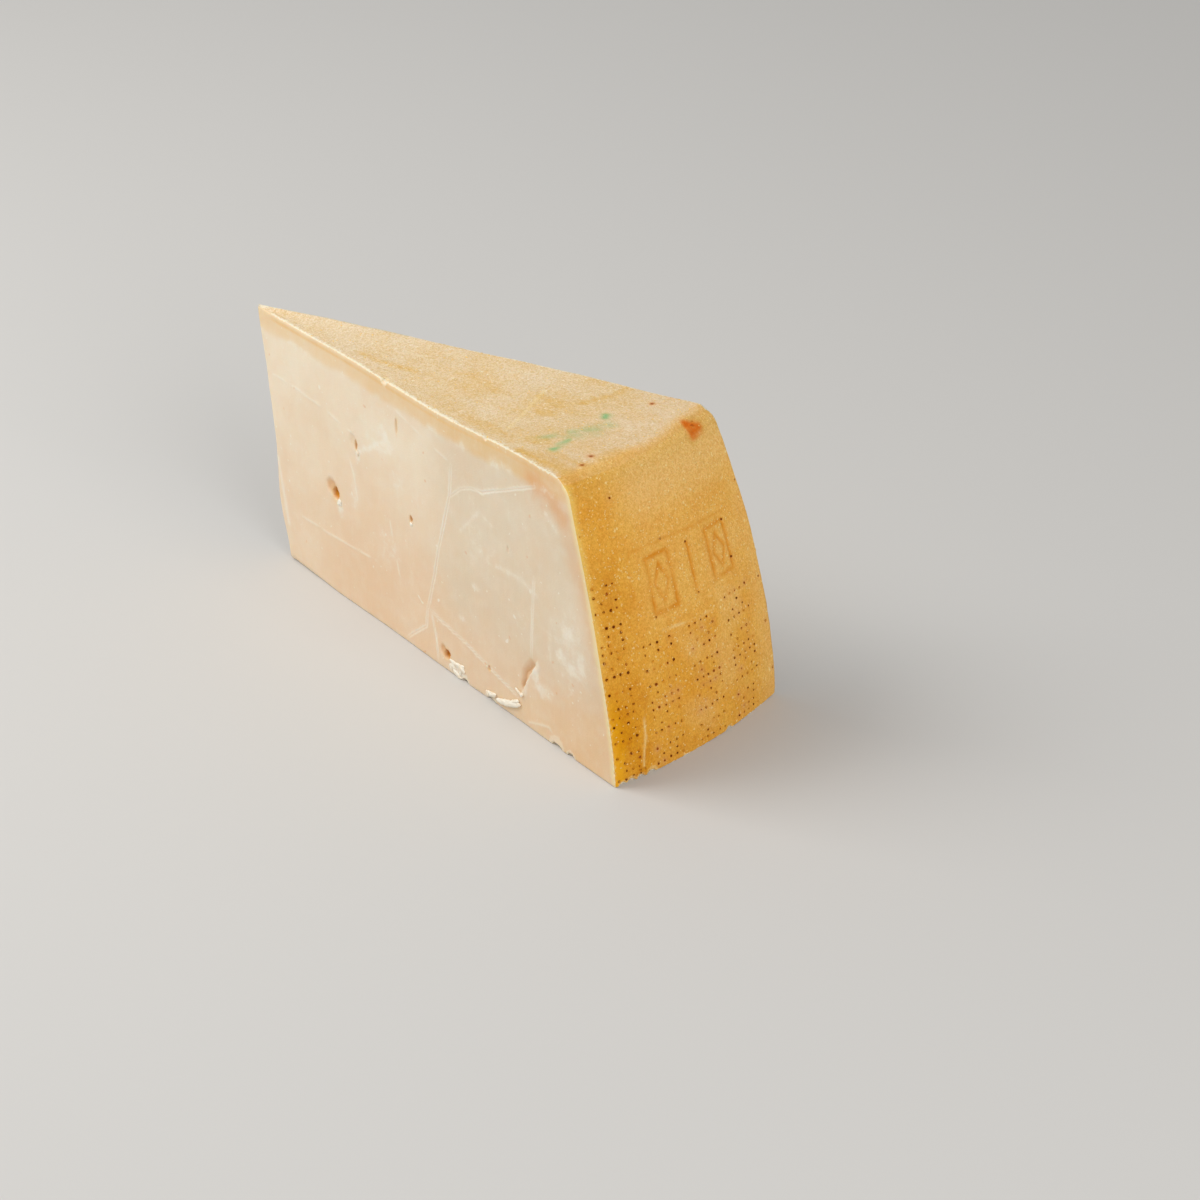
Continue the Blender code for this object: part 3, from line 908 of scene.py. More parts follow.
        plain = calculate(tree, "SUBTRACT", 1.0, product(tree, deep, 0.75))
        large = product(tree, self.specks(tree, *LARGE_DOTS), 0.60)
        small = product(tree, self.specks(tree, *SMALL_DOTS), 0.46)
        dots = product(tree, calculate(tree, "MAXIMUM", large, small), plain)
        colour = coat(tree, colour, (
            (dots, mix_colours(tree, on_top, RIND_PALE, RIND_TOP_PALE)),
            (product(tree, self.ragged(tree, "scuff", *RIND_SCUFFS), 0.45), RIND_TOP_PALE),
            (painted(tree, "bright"), EDGE_BRIGHT),
            (painted(tree, "edge"), EDGE_YELLOW),
            (painted(tree, "smudge"), SMUDGE),
            (painted(tree, "furrow"), FURROW),
            (painted(tree, "pale_line"), RIND_PALE),
            (painted(tree, "ink"), INK),
            (painted(tree, "stain"), STAIN),
            (painted(tree, "brown"), SPOT_BROWN),
            (self.ragged(tree, "ridge", RIDGE_TEETH), IVORY),
        ))
        tree.links.new(colour, shader.inputs["Base Color"])
        self.roughen(tree, shader, heights["Grain"], 0.50, 0.72)
        height = calculate(tree, "ADD", heights["Grain"], product(tree, fine["Grain"], 0.4))
        self.bump(tree, shader, height, RIND_BUMP)
        return material

    def small_piece(self, name, shades, roughness, clouds, grain, relief, gloss):
        """A mottled material of two shades with a fine bump."""
        material, tree, shader = self.new(name, shades[0], roughness, Specular_IOR_Level=gloss)
        colour = mix_colours(tree, self.mottling(tree, *clouds), *shades)
        tree.links.new(colour, shader.inputs["Base Color"])
        self.bump(tree, shader, self.grain(tree, *grain)["Grain"], relief)
        return material

    def fleck(self):
        """Dry rind crumbs, paler than the rind around them."""
        shades = (FLECK_GOLD, FLECK_PALE)
        return self.small_piece("rind_fleck", shades, 0.70, FLECK_CLOUDS, CRUST_GRAIN, FLECK_BUMP, 0.10)

    def torn(self):
        """Torn paste, whiter than the cut around it."""
        shades = (SCUFF, PASTE_PALE)
        return self.small_piece("torn_paste", shades, 0.60, TORN_CLOUDS, TORN_GRAIN, TORN_BUMP, 0.50)

    def prick(self):
        """Dark crust in a prick, worn pale where the prick has faded."""
        material, tree, shader = self.new("prick_crust", PRICK_BROWN, 0.90, Specular_IOR_Level=0.10)
        patches = product(tree, self.mottling(tree, *CRUST_SPOTS), 0.35)
        worn = coat(tree, PRICK_BROWN, ((patches, PRICK_WORN), (painted(tree, "fade"), PRICK_WORN)))
        tree.links.new(worn, shader.inputs["Base Color"])
        self.bump(tree, shader, self.grain(tree, *CRUST_GRAIN)["Grain"], CRUST_BUMP)
        return material


def finish(scene, name):
    """The material of this name, made when it is first asked for."""
    if name not in bpy.data.materials:
        finishes = Finishes(scene)
        for made in (finishes.paste, finishes.rind, finishes.prick, finishes.fleck, finishes.torn):
            made()
    return bpy.data.materials[name]


def soft_table(table, at):
    """Value of a table of pairs at each place, with the corners between its runs rounded."""
    places, values = zip(*table)
    reach = TABLE_SOFTENING * (places[-1] - places[0])
    steps = reach * np.arange(-SOFTENING_STEPS, SOFTENING_STEPS + 1) / SOFTENING_STEPS
    return sum(np.interp(at + step, places, values) for step in steps) / len(steps)


def share_across(bearing):
    """0 on the near cut and 1 on the far cut."""
    return 0.5 + 0.5 * bearing / HALF_ANGLE


def top_height(radius, bearing):
    share = share_across(bearing)
    near, far = soft_table(TOP_NEAR, radius), soft_table(TOP_FAR, radius)
    return near + (far - near) * share - TOP_DISH * 4 * share * (1 - share)


def side_radius(bearing, height):
    """Radius of the bulged rind."""
    power = SIDE_POWER_NEAR + (SIDE_POWER_FAR - SIDE_POWER_NEAR) * share_across(bearing)
    return BASE_RADIUS - SIDE_DROP * np.maximum(0.0, height / RIM_HEIGHT) ** power


def about_axis(radius, bearing, height):
    """Points at these places, one to a row."""
    spread = np.broadcast_arrays(radius * np.cos(bearing), radius * np.sin(bearing), height)
    return np.stack(spread, axis=-1)


def noise_at(points, wave, shift=(0.0, 0.0, 0.0)):
    """Smooth noise from about -1 to 1 at each point, with waves of this length."""
    spots = np.asarray(points) / wave + np.asarray(shift)
    return np.array([noise.noise(spot) for spot in spots.tolist()])


def eased(first, second, size):
    """Two distances, each from one of two faces that meet, with the edge between the faces rounded."""
    apart = np.maximum(np.hypot(size - first, size - second), 1e-12)
    shrink = np.maximum(size - first, size - second) / apart
    outside = (first >= size) | (second >= size)
    new_first = np.where(outside, first, size - (size - first) * shrink)
    new_second = np.where(outside, second, size - (size - second) * shrink)
    return new_first, new_second


def under_skin(from_rind, from_top):
    """Depth under the rind with its rounded rim, and which way is straight in from there."""
    in_corner = (from_rind < RIM_ROUND) & (from_top < RIM_ROUND)
    reach = np.maximum(np.hypot(RIM_ROUND - from_rind, RIM_ROUND - from_top), 1e-12)
    by_rind = from_rind < from_top
    depth = np.where(in_corner, RIM_ROUND - reach, np.minimum(from_rind, from_top))
    turned_out = np.where(in_corner, (RIM_ROUND - from_rind) / reach, by_rind)
    turned_down = np.where(in_corner, (RIM_ROUND - from_top) / reach, ~by_rind)
    return depth, turned_out, turned_down


def line_place(line, count, length):
    """Place of a lattice line on a length, with the outer lines close to the ends."""
    edge = np.minimum(EDGE_LINE, 0.2 * length)
    inner = edge + (length - 2 * edge) * (line - 1) / (count - 2)
    outer = length - edge * (count - line)
    return np.where(line <= 1, edge * line, np.where(line >= count - 1, outer, inner))


def lattice_places(lattice):
    """Radius, bearing and height of lattice corners, before the wedge's edges are rounded."""
    along, across, up = lattice.T
    bearing = HALF_ANGLE * (2 * across / FACES_ACROSS - 1)
    height = RIM_HEIGHT * up / FACES_UP
    for _ in range(2):
        front = soft_table(TIP_EDGE, height)
        radius = front + line_place(along, FACES_ALONG, side_radius(bearing, height) - front)
        height = line_place(up, FACES_UP, top_height(radius, bearing))
    bearing = line_place(across, FACES_ACROSS, 2 * HALF_ANGLE * radius) / radius - HALF_ANGLE
    return radius, bearing, height


class Surface:
    """Corners of the wedge's skin: where they lie, and how far from each of its faces."""

    def __init__(self, lattice):
        along, across, up = lattice.T
        radius, bearing, height = lattice_places(lattice)
        self.on_tip = along < 1e-4
        self.on_rind = along > FACES_ALONG - 1e-4
        self.on_near = across < 1e-4
        self.on_far = across > FACES_ACROSS - 1e-4
        self.on_base = up < 1e-4
        self.on_top = up > FACES_UP - 1e-4
        side = np.where(bearing < 0, NEAR, FAR)
        from_rind = side_radius(bearing, height) - radius
        from_top = top_height(radius, bearing) - height
        from_cut = radius * (HALF_ANGLE - np.abs(bearing))
        half_width = radius * HALF_ANGLE
        cut_edge = np.minimum(CUT_EDGE_ROUND, EDGE_SHARE * half_width)
        crumble = TIP_CRUMBLE * np.maximum(0.0, 1 - radius / TIP_CRUMBLE_REACH)
        foot_edge = np.minimum(BASE_EDGE_ROUND + crumble, EDGE_SHARE * half_width)

        out, down = eased(from_rind, from_top, RIM_ROUND)
        depth, turned_out, turned_down = under_skin(out, down)
        inward, new_depth = eased(from_cut, depth, cut_edge)
        out = out + turned_out * (new_depth - depth)
        down = down + turned_down * (new_depth - depth)
        inward, lift = eased(inward, height, foot_edge)
        out, lift = eased(out, lift, BASE_EDGE_ROUND)

        new_height = lift - (down - from_top)
        new_radius = radius + from_rind - out
        nose = TIP_NOSE * half_width * (1 - (bearing / HALF_ANGLE) ** 2)
        new_radius -= np.where(self.on_tip, nose, 0.0)
        swell = RIND_RELIEF * noise_at(about_axis(radius, bearing, height), RIND_WAVE)
        new_radius += np.where(self.on_rind & ~self.on_base, swell, 0.0)
        new_height += np.where(self.on_top, swell, 0.0)
        inward -= np.where(self.on_near | self.on_far, self.cut_swell(radius, height, side), 0.0)
        self.radius, self.bearing, self.height = radius, bearing, height
        self.from_rind, self.from_top, self.from_cut = from_rind, from_top, from_cut
        self.points = about_axis(new_radius, side * (HALF_ANGLE - inward / radius), new_height)

    @staticmethod
    def cut_swell(radius, height, side):
        """How far a cut face stands out of its plane."""
        spots = np.stack((radius, np.zeros_like(radius), height), axis=-1) / CUT_WAVE
        spots[:, 1] += 7.3 * side
        swell = np.array([noise.noise(spot) for spot in spots.tolist()])
        return CUT_RELIEF * swell * np.minimum(1.0, radius / TIP_CRUMBLE_REACH)


def gap_to_path(spots, path):
    """Distance of each flat spot from a path of straight runs, and the share of the path walked there."""
    gap = np.full(len(spots), np.inf)
    walked = np.zeros(len(spots))
    done = 0.0
    for start, end in zip(path, path[1:]):
        start, run = np.array(start), np.subtract(end, start)
        length = math.hypot(*run)
        share = np.clip((spots - start) @ run / length**2, 0, 1)
        to_run = np.linalg.norm(spots - start - share[:, None] * run, axis=1)
        closer = to_run < gap
        gap[closer] = to_run[closer]
        walked[closer] = done + share[closer] * length
        done += length
    return gap, walked / done


def step(values, low, high):
    """0 at low and 1 at high, with a smooth step between them."""
    share = np.clip((values - low) / (high - low), 0, 1)
    return share * share * (3 - 2 * share)


def fall(values, low, high):
    """1 at low and 0 at high, with a smooth step between them."""
    return step(-values, -high, -low)


def bell(values, width):
    """1 at 0, falling off softly on both sides over this width."""
    return np.exp(-((values / width) ** 2))


def far_marks():
    """Eyes and cracks of the far cut, drawn the way its solid draws them."""
    draw = random.Random(FAR_SEED)
    eyes, cracks = [], []
    for number in range(1, FAR_EYES + 1):
        radius = FAR_EYE_START + FAR_EYE_STEP * number
        height = draw.uniform(*FAR_EYE_HEIGHTS)
        half = draw.uniform(*FAR_EYE_HALVES)
        eyes.append((radius, height, half, draw.uniform(1.0, 1.8) * half, 1.2 * half, 0.9))
        # A shallow hollow beside each hole, whose brown is painted shade
        eyes.append((radius - 1.3 * half, height + 0.9 * half, 1.9 * half, 1.7 * half, 0.35 * half, 0.40))
    for number in range(1, FAR_CRACKS + 1):
        radius, height = FAR_CRACK_STEP * (number + 1), FAR_CRACK_TOP
        path = []
        for _ in range(FAR_CRACK_RUNS):
            path.append((radius, height))
            radius += draw.uniform(*FAR_CRACK_RUN)
            height -= draw.uniform(*FAR_CRACK_DROP)
        cracks.append((FAR_CRACK_WIDTH, FAR_CRACK_DEPTH, tuple(path)))
    return eyes, cracks


def ornament_paths():
    """The pressed ornament as paths of bearing in degrees and height."""
    square = ((-1, -1), (1, -1), (1, 1), (-1, 1), (-1, -1))
    lozenge = ((0, -1), (1, 0), (0, 1), (-1, 0), (0, -1))
    upright = ((0, -1), (0, 1))
    paths = []
    for outline, places in ((square, FRAMES), (lozenge, LOZENGES), (upright, BARS)):
        for bearing, height, half_turn, half_height in places:
            paths.append([(bearing + x * half_turn, height + z * half_height) for x, z in outline])
    return paths


def unrolled(bearing_degrees, height):
    """Flat place on the rind in metres, for pairs of bearing in degrees and height."""
    return np.stack((np.radians(bearing_degrees) * BASE_RADIUS, height), axis=-1)


def flat_path(path):
    return [tuple(unrolled(bearing, height)) for bearing, height in path]


def prick_places(pricks):
    """Each prick of the ornament: bearing in degrees, height, size and how far it has faded."""
    draw = random.Random(pricks.seed)
    limit = math.degrees(HALF_ANGLE) - 0.25
    turn = math.degrees(pricks.jitter / BASE_RADIUS)
    places = []

    def add(bearing, height, size, fade):
        bearing = min(limit, max(-limit, bearing + turn * draw.uniform(-1, 1)))
        height += pricks.jitter * draw.uniform(-1, 1)
        places.append((bearing, height, size * draw.uniform(0.80, 1.15), fade))

    for bearing, across, high, low, size, faded in PRICK_BANDS:
        for row in range(round((high - low) / PRICK_RISE) + 1):
            for column, mark in enumerate(PRICK_MOTIF[row % len(PRICK_MOTIF)][:across]):
                if mark == "." or draw.random() < MISSING_PRICKS:
                    continue
                fade = draw.uniform(0.40, 0.85) if draw.random() < faded else draw.uniform(0.0, 0.15)
                add(bearing + column * PRICK_TURN, high - row * PRICK_RISE, size, fade)
    for bearing, height in SINGLE_PRICKS:
        add(bearing, height, 0.8, 0.4)
    return places


def chip_frames():
    """Each chip's middle on its edge, half length, two ways into the cheese and the run of its edge."""
    chips = []
    up = np.array((0.0, 0.0, 1.0))
    cut_in = np.array((-math.sin(HALF_ANGLE), math.cos(HALF_ANGLE), 0.0))
    cut_run = np.array((math.cos(HALF_ANGLE), -math.sin(HALF_ANGLE), 0.0))
    for radius, half in NEAR_FOOT_CHIPS:
        chips.append((about_axis(radius, -HALF_ANGLE, 0.0), half, cut_in, up, cut_run))
    for radius, half in NEAR_TOP_CHIPS:
        top = float(top_height(radius, -HALF_ANGLE))
        chips.append((about_axis(radius, -HALF_ANGLE, top), half, cut_in, -up, cut_run))
    for degrees, half in RIND_FOOT_CHIPS:
        bearing = math.radians(degrees)
        rind_in = np.array((-math.cos(bearing), -math.sin(bearing), 0.0))
        rind_run = np.array((-math.sin(bearing), math.cos(bearing), 0.0))
        place = about_axis(float(side_radius(bearing, 0.0)), bearing, 0.0)
        chips.append((place, half, rind_in, up, rind_run))
    for height in np.arange(SCALLOPS_FROM, SCALLOPS_TO, SCALLOP_SPACING):
        place = about_axis(float(side_radius(-HALF_ANGLE, height)), -HALF_ANGLE, height)
        chips.append((place, SCALLOP_SIZE, cut_in, -cut_run, up))
    return chips


def wanted_sizes(side, surface):
    """Longest edge that a face of this side may have, at each of the surface's points."""
    wanted = np.full(len(surface.points), FACE_SIZES[side])

    def finer(where, size):
        wanted[where] = np.minimum(wanted[where], size)

    def finer_along(spots, paths, reach, size):
        for path in paths:
            finer(gap_to_path(spots, path)[0] < reach, size)

    near_half = surface.bearing < 0
    if side in (CUT_NEAR, CUT_FAR):
        spots = np.stack((surface.radius, surface.height), axis=-1)
        near = side == CUT_NEAR
        eyes, cracks = (list(NEAR_EYES.values()), list(NEAR_CRACKS.values())) if near else far_marks()
        for radius, height, half_width, half_height, _, _ in eyes:
            offset = (spots - (radius, height)) / (half_width + 0.0010, half_height + 0.0010)
            small = min(half_width, half_height) < SMALL_EYE
            finer(np.hypot(*offset.T) < 1.0, SMALL_EYE_FACES if small else EYE_FACES)
        for width, _, path in cracks:
            finer_along(spots, (path,), width * 0.5 + 0.0007, CRACK_FACES)
        if near:
            finer_along(spots, NEAR_LINES, 0.0008, LINE_FACES)
            finer_along(spots, (TEAR_PATH,), TEAR_WIDTH, TEAR_FACES)
        edge = np.minimum(np.minimum(surface.from_top, surface.from_rind), surface.height)
        finer(edge < 0.0016, EDGE_FACES if near else FAR_EDGE_FACES)
    if side == RIND:
        spots = unrolled(np.degrees(surface.bearing), surface.height)
        finer_along(spots, map(flat_path, ornament_paths()), 0.0010, GROOVE_FACES)
        finer_along(spots, map(flat_path, (*SEAM_LINES, ARC_LINE)), 0.0009, LINE_FACES)
        finer((surface.from_cut < 0.0016) & near_half, EDGE_FACES)
        finer(surface.height < 0.0020, LINE_FACES)
        for bearing, height, _, _ in prick_places(bpy.context.scene.cheese_pricks):
            finer(np.hypot(*(spots - unrolled(bearing, height)).T) < 0.0010, PRICK_FACES)
    if side == TOP:
        spots = surface.points[:, :2]
        finer(surface.radius > 0.070, OUTER_TOP_FACES)
        finer((surface.from_cut < 0.0026) & near_half, EDGE_FACES)
        for x, y, size in TOP_SPOTS:
            finer(np.hypot(*(spots - (x, y)).T) < size + 0.0006, SPOT_FACES)
        finer_along(spots, (STAIN_PATH,), 0.0025, LINE_FACES)
    for middle, half, _, _, _ in chip_frames():
        finer(np.linalg.norm(surface.points - middle, axis=1) < half + 0.0008, CHIP_FACES)
    return wanted


def coarse_lattice():
    """The wedge as a closed box of square faces, in lattice lines. A face's material number is its side."""
    counts = (FACES_ALONG, FACES_ACROSS, FACES_UP)
    bm = bmesh.new()
    corners = {}

    def corner(spot):
        if spot not in corners:
            corners[spot] = bm.verts.new(spot)
        return corners[spot]

    for axis in range(3):
        first, second = (axis + 1) % 3, (axis + 2) % 3
        for at_end in (0, 1):
            for i in range(counts[first]):
                for j in range(counts[second]):
                    around = ((0, 0), (1, 0), (1, 1), (0, 1))
                    spots = []
                    for di, dj in around if at_end else around[::-1]:
                        spot = [0, 0, 0]
                        spot[axis], spot[first], spot[second] = counts[axis] * at_end, i + di, j + dj
                        spots.append(tuple(spot))
                    face = bm.faces.new([corner(spot) for spot in spots])
                    face.material_index = 2 * axis + at_end
    return bm


def lattice_of(bm):
    return np.array([vert.co[:] for vert in bm.verts])


def refine(bm):
    """Halves the faces that are too large for the marks that they carry."""
    for _ in range(HALVINGS):
        bm.verts.index_update()
        points = Surface(lattice_of(bm)).points
        faces = list(bm.faces)
        middles = np.array([face.calc_center_median()[:] for face in faces])
        sides = np.array([face.material_index for face in faces])
        longest = np.array([
            max(math.dist(*(points[vert.index] for vert in edge.verts)) for edge in face.edges)
            for face in faces
        ])
        chosen = set()
        for side in range(6):
            rows = np.flatnonzero(sides == side)
            wanted = wanted_sizes(side, Surface(middles[rows]))
            for row in rows[longest[rows] > FACE_SLACK * wanted]:
                chosen.update(faces[row].edges)
        bmesh.ops.subdivide_edges(bm, edges=list(chosen), cuts=1, use_grid_fill=True)


class Skin:
    """The finely divided surface: its points are moved by reliefs, and its paint is held for each point."""

    def __init__(self, form, pricks):
        self.form = form
        self.pricks = pricks
        self.bm = coarse_lattice()
        refine(self.bm)
        self.surface = Surface(lattice_of(self.bm))
        self.points = self.surface.points.copy()
        self.paint = {}
        self.shape_faces()
        self.normals = self.face_normals()
        self.cut_spots = np.stack((self.surface.radius, self.surface.height), axis=-1)
        degrees = np.degrees(self.surface.bearing)
        self.rind_spots = unrolled(degrees, self.surface.height)
        self.top_spots = self.surface.points[:, :2]
        self.blot_noise = self.noise(0.0035, 70.0)

    def shape_faces(self):
        for vert, point in zip(self.bm.verts, self.points.tolist()):
            vert.co = point

    def face_normals(self):
        self.bm.normal_update()
        return np.array([vert.normal[:] for vert in self.bm.verts])

    def brush(self, name, amount, on=True):
        """Adds paint of this name there: where strokes overlap the stronger one stays."""
        held = self.paint.setdefault(name, np.zeros(len(self.points)))
        np.maximum(held, np.clip(np.where(on, amount, 0.0), 0, 1), out=held)

    def sink(self, depth, on=True):
        """Moves the points there straight in by a depth."""
        self.points -= self.normals * np.where(on, depth, 0.0)[:, None]

    def noise(self, wave, shift=0.0):
        return noise_at(self.surface.points, wave, (shift, 0.7 * shift, 1.3 * shift))

    def waver(self, wave, shift):
        """Two amounts of smooth noise for each point, to bend a path with."""
        return np.stack((self.noise(wave, shift), self.noise(wave, shift + 1.0)), axis=-1)

    def make_eyes(self, eyes, on_face):
        """Holes with an uneven outline: brown inside, and softly darker around."""
        wobble = 0.16 * self.noise(0.0021, 3.0) + 0.10 * self.noise(0.0008, 5.0)
        for radius, height, half_width, half_height, depth, brown in eyes:
            offset = (self.cut_spots - (radius, height)) / (half_width, half_height)
            reach = np.hypot(*offset.T) * (1 + wobble)
            shallow = depth < 0.5 * half_width
            bowl = np.clip(1 - reach**2, 0, 1)
            bowl = bowl**1.5 if shallow else np.sqrt(bowl)
            self.sink(depth * bowl, on_face)
            # In the shallow hollows beside the holes this brown is painted shade; in the holes it is their
            # brown inside
            self.brush("brown", brown * step(bowl, 0.0, 0.75), on_face)
            if not shallow:
                self.brush("amber", 0.35 * fall(reach, 0.9, 1.8), on_face)

    def make_cracks(self, cracks, on_face):
        """Fine hairlines between pale lips, which waver a little on their way."""
        waver = 0.00030 * self.waver(0.007, 1.0)
        waver += 0.00012 * self.waver(0.0016, 3.0)
        fading = np.clip(0.75 + 0.45 * self.noise(0.012, 8.0), 0.25, 1.0)
        for width, depth, path in cracks:
            gap, walked = gap_to_path(self.cut_spots + waver, path)
            ends = step(np.minimum(walked, 1 - walked), 0.0, 0.08) * 0.60 + 0.40
            groove = np.clip(1 - gap / (width * 0.5), 0, 1) * ends
            lip = bell(gap - width * 0.65, width * 0.50) * ends
            self.sink(depth * (groove * fading - 0.30 * lip), on_face)
            self.brush("pale_line", 0.85 * fading * lip, on_face)
            self.brush("amber_deep", 0.22 * fading * groove, on_face)

    def make_tear(self):
        """A fold that is torn open: a sunken slope with painted brown shade, which ends at a raised pale
        edge.
        """
        near = self.surface.on_near
        start, end = np.array(TEAR_PATH[0]), np.array(TEAR_PATH[-1])
        gap, walked = gap_to_path(self.cut_spots + 0.00025 * self.noise(0.003, 13.0)[:, None], TEAR_PATH)
        run = end - start
        offset = self.cut_spots - start
        behind = offset[:, 0] * run[1] - offset[:, 1] * run[0] < 0
        width = TEAR_WIDTH * (1.0 - 0.62 * walked)
        slope = np.clip(1 - gap / np.where(behind, TEAR_WALL, width), 0, 1)
        slope *= step(np.minimum(walked, 1 - walked), -0.05, 0.10)
        self.sink(TEAR_DEPTH * slope**1.4, near)
        # The brown and amber on the slope are painted shade in the sunken fold
        self.brush("brown", 0.34 * slope**1.2, near)
        self.brush("amber_deep", 0.32 * slope**0.7, near)
        edge = bell(gap - TEAR_LIP, TEAR_LIP_WIDTH) * behind
        self.sink(-TEAR_LIP_HEIGHT * edge, near)
        self.brush("pale_line", 0.45 * edge, near)

    def make_lines(self, lines, on_face, spots, height, strength):
        waver = 0.0004 * self.waver(0.009, 1.0)
        broken = step(self.noise(0.006, 12.0), -0.45, 0.15)
        for path in lines:
            gap, _ = gap_to_path(spots + waver, path)
            line = bell(gap, LINE_WIDTH) * broken
            self.sink(-height * line, on_face)
            self.brush("pale_line", strength * line, on_face)

    def make_chips(self):
        """Scoops out of the edges. Points on either face are spread over the scoop."""
        for middle, half, first_in, second_in, run in chip_frames():
            depth = min(CHIP_DEPTH, half)
            offset = self.surface.points - middle
            along = offset @ run / half
            first = np.maximum(offset @ first_in, 0) / depth
            second = np.maximum(offset @ second_in, 0) / depth
            rim = np.sqrt(np.clip(1 - along**2, 0, 1))
            inside = (np.abs(along) < 1) & (np.maximum(first, second) < rim)
            share = 0.5 + 0.5 * (first - second) / np.maximum(rim, 1e-9)
            turn = share * math.pi / 2
            moved = middle + np.outer(along * half, run)
            moved += np.outer(rim * np.sin(turn) * depth, first_in)
            moved += np.outer(rim * np.cos(turn) * depth, second_in)
            self.points[inside] = moved[inside]
            torn = np.linalg.norm(offset, axis=1) < half * 1.3
            self.brush("pale_line", 0.35, torn)

    def make_ridge(self):
        """The ragged lip that scraping left along the near top edge."""
        surface = self.surface
        gap = np.where(surface.on_top, surface.from_cut, surface.from_top)
        at_edge = (surface.on_top | surface.on_near) & (surface.bearing < 0)
        uneven = np.clip(0.50 + 0.80 * self.noise(0.0060, 6.0) + 0.75 * self.noise(0.0022, 9.0), 0.05, 1.4)
        fade = step(surface.from_rind, *RIDGE_FROM_RIND) * step(surface.radius, *RIDGE_FROM_TIP)
        lip = bell(gap, self.form.ridge_width) * uneven * fade
        lip = np.where(at_edge, lip, 0.0)
        self.points += np.outer(lip * self.form.ridge_height, (0.0, -0.35, 1.0))
        spread = np.where(surface.on_top, 1.80, 0.65) * (0.55 + 0.6 * uneven) * self.form.ridge_width
        # Pale paint on and beside the lip: partly its crumbly scraped paste, partly painted highlight where
        # the edge catches the light
        self.brush("ridge", fade * (0.74 - 0.30 * gap / spread), at_edge)
        # A thin pale line along the far top edge: partly its crumbly edge, partly painted highlight
        far_edge = surface.on_top & (surface.bearing > 0)
        self.brush("ridge", 0.85 - surface.from_cut / FAR_RIDGE_WIDTH, far_edge)
        # A thin amber line just under the lip is painted shadow
        under = bell(surface.from_top - RIDGE_SHADOW, RIDGE_SHADOW_WIDTH) * fade
        self.brush("amber", 0.90 * under, surface.on_near)

    def make_unevenness(self):
        surface = self.surface
        cut = surface.on_near | surface.on_far
        flake = self.form.cut_flaking * (0.9 * self.noise(0.0085, 20.0) + 0.5 * self.noise(0.0030, 21.0))
        rind = (surface.on_rind | surface.on_top) & ~cut
        wrinkle = self.form.rind_wrinkling * (1.3 * self.noise(0.0060, 22.0) + 0.8 * self.noise(0.0021, 23.0))
        inner = step(np.minimum(surface.height, 0.003), 0.0, 0.002)
        self.sink(inner * (np.where(cut, flake, 0.0) + np.where(rind, wrinkle, 0.0)))

    def make_ornament(self):
        on_rind = self.surface.on_rind
        waver = 0.0003 * self.waver(0.005, 31.0)
        worn = np.clip(0.75 + 0.5 * self.noise(0.006, 33.0), 0.2, 1.0)
        for path in ornament_paths():
            gap, _ = gap_to_path(self.rind_spots + waver, flat_path(path))
            groove = bell(gap, GROOVE_WIDTH * 0.5) * worn
            self.sink(GROOVE_DEPTH * groove, on_rind)
            soft = bell(gap, GROOVE_WIDTH * 0.8) * worn
            self.brush("furrow", 0.88 * soft, on_rind)
        gap, _ = gap_to_path(self.rind_spots + waver, flat_path(ARC_LINE))
        groove = bell(gap, ARC_WIDTH) * worn
        self.sink(ARC_DEPTH * groove, on_rind)
        self.brush("furrow", 0.50 * groove, on_rind)
        self.make_lines([flat_path(path) for path in SEAM_LINES], on_rind, self.rind_spots, SEAM_HEIGHT, 0.55)

    def make_prick_hollows(self):
        """A shallow hollow under each prick, with a darker ring and a smudge around it."""
        on_rind = self.surface.on_rind
        ring = np.zeros(len(self.points))
        smudge = np.zeros(len(self.points))
        for bearing, height, size, fade in prick_places(self.pricks):
            gap = np.hypot(*(self.rind_spots - unrolled(bearing, height)).T)
            radius = size * self.pricks.radius
            dip = np.clip(1 - (gap / (0.95 * radius)) ** 2, 0, 1)
            self.sink(1.25 * self.pricks.depth * np.sqrt(dip), on_rind)
            ring = np.maximum(ring, (1 - 0.6 * fade) * np.exp(-((gap / (1.5 * radius)) ** 4)))
            if bearing > SMUDGED_FROM:
                smudge = np.maximum(smudge, bell(gap, SMUDGE_WIDTH) * (0.4 + fade))
        patchy = step(self.noise(0.008, 41.0), -0.25, 0.35)
        self.brush("smudge", 0.36 * smudge * patchy, on_rind)
        self.brush("furrow", 0.80 * ring, on_rind)

    def blot(self, name, spots, across, up, half_width, half_height, strength, turn, on):
        """A soft uneven patch of paint."""
        offset = spots - (across, up)
        cos, sin = math.cos(turn), math.sin(turn)
        x, y = offset @ (cos, sin) / half_width, offset @ (-sin, cos) / half_height
        reach = np.hypot(x, y) * (1 + 0.35 * self.blot_noise)
        self.brush(name, strength * (1 - step(reach, 0.30, 1.25)), on)

    def stroke(self, name, spots, path, width, strength, on):
        """A soft uneven line of paint."""
        gap, _ = gap_to_path(spots, path)
        reach = gap / width * (1 + 0.45 * self.blot_noise)
        self.brush(name, strength * np.exp(-(reach**2)), on)

    def blots(self, table, spots, on):
        for name, rows in table.items():
            for row in rows:
                self.blot(name, spots, *row, on)

    def strokes(self, table, spots, on):
        for name, rows in table.items():
            for row in rows:
                self.stroke(name, spots, *row, on)

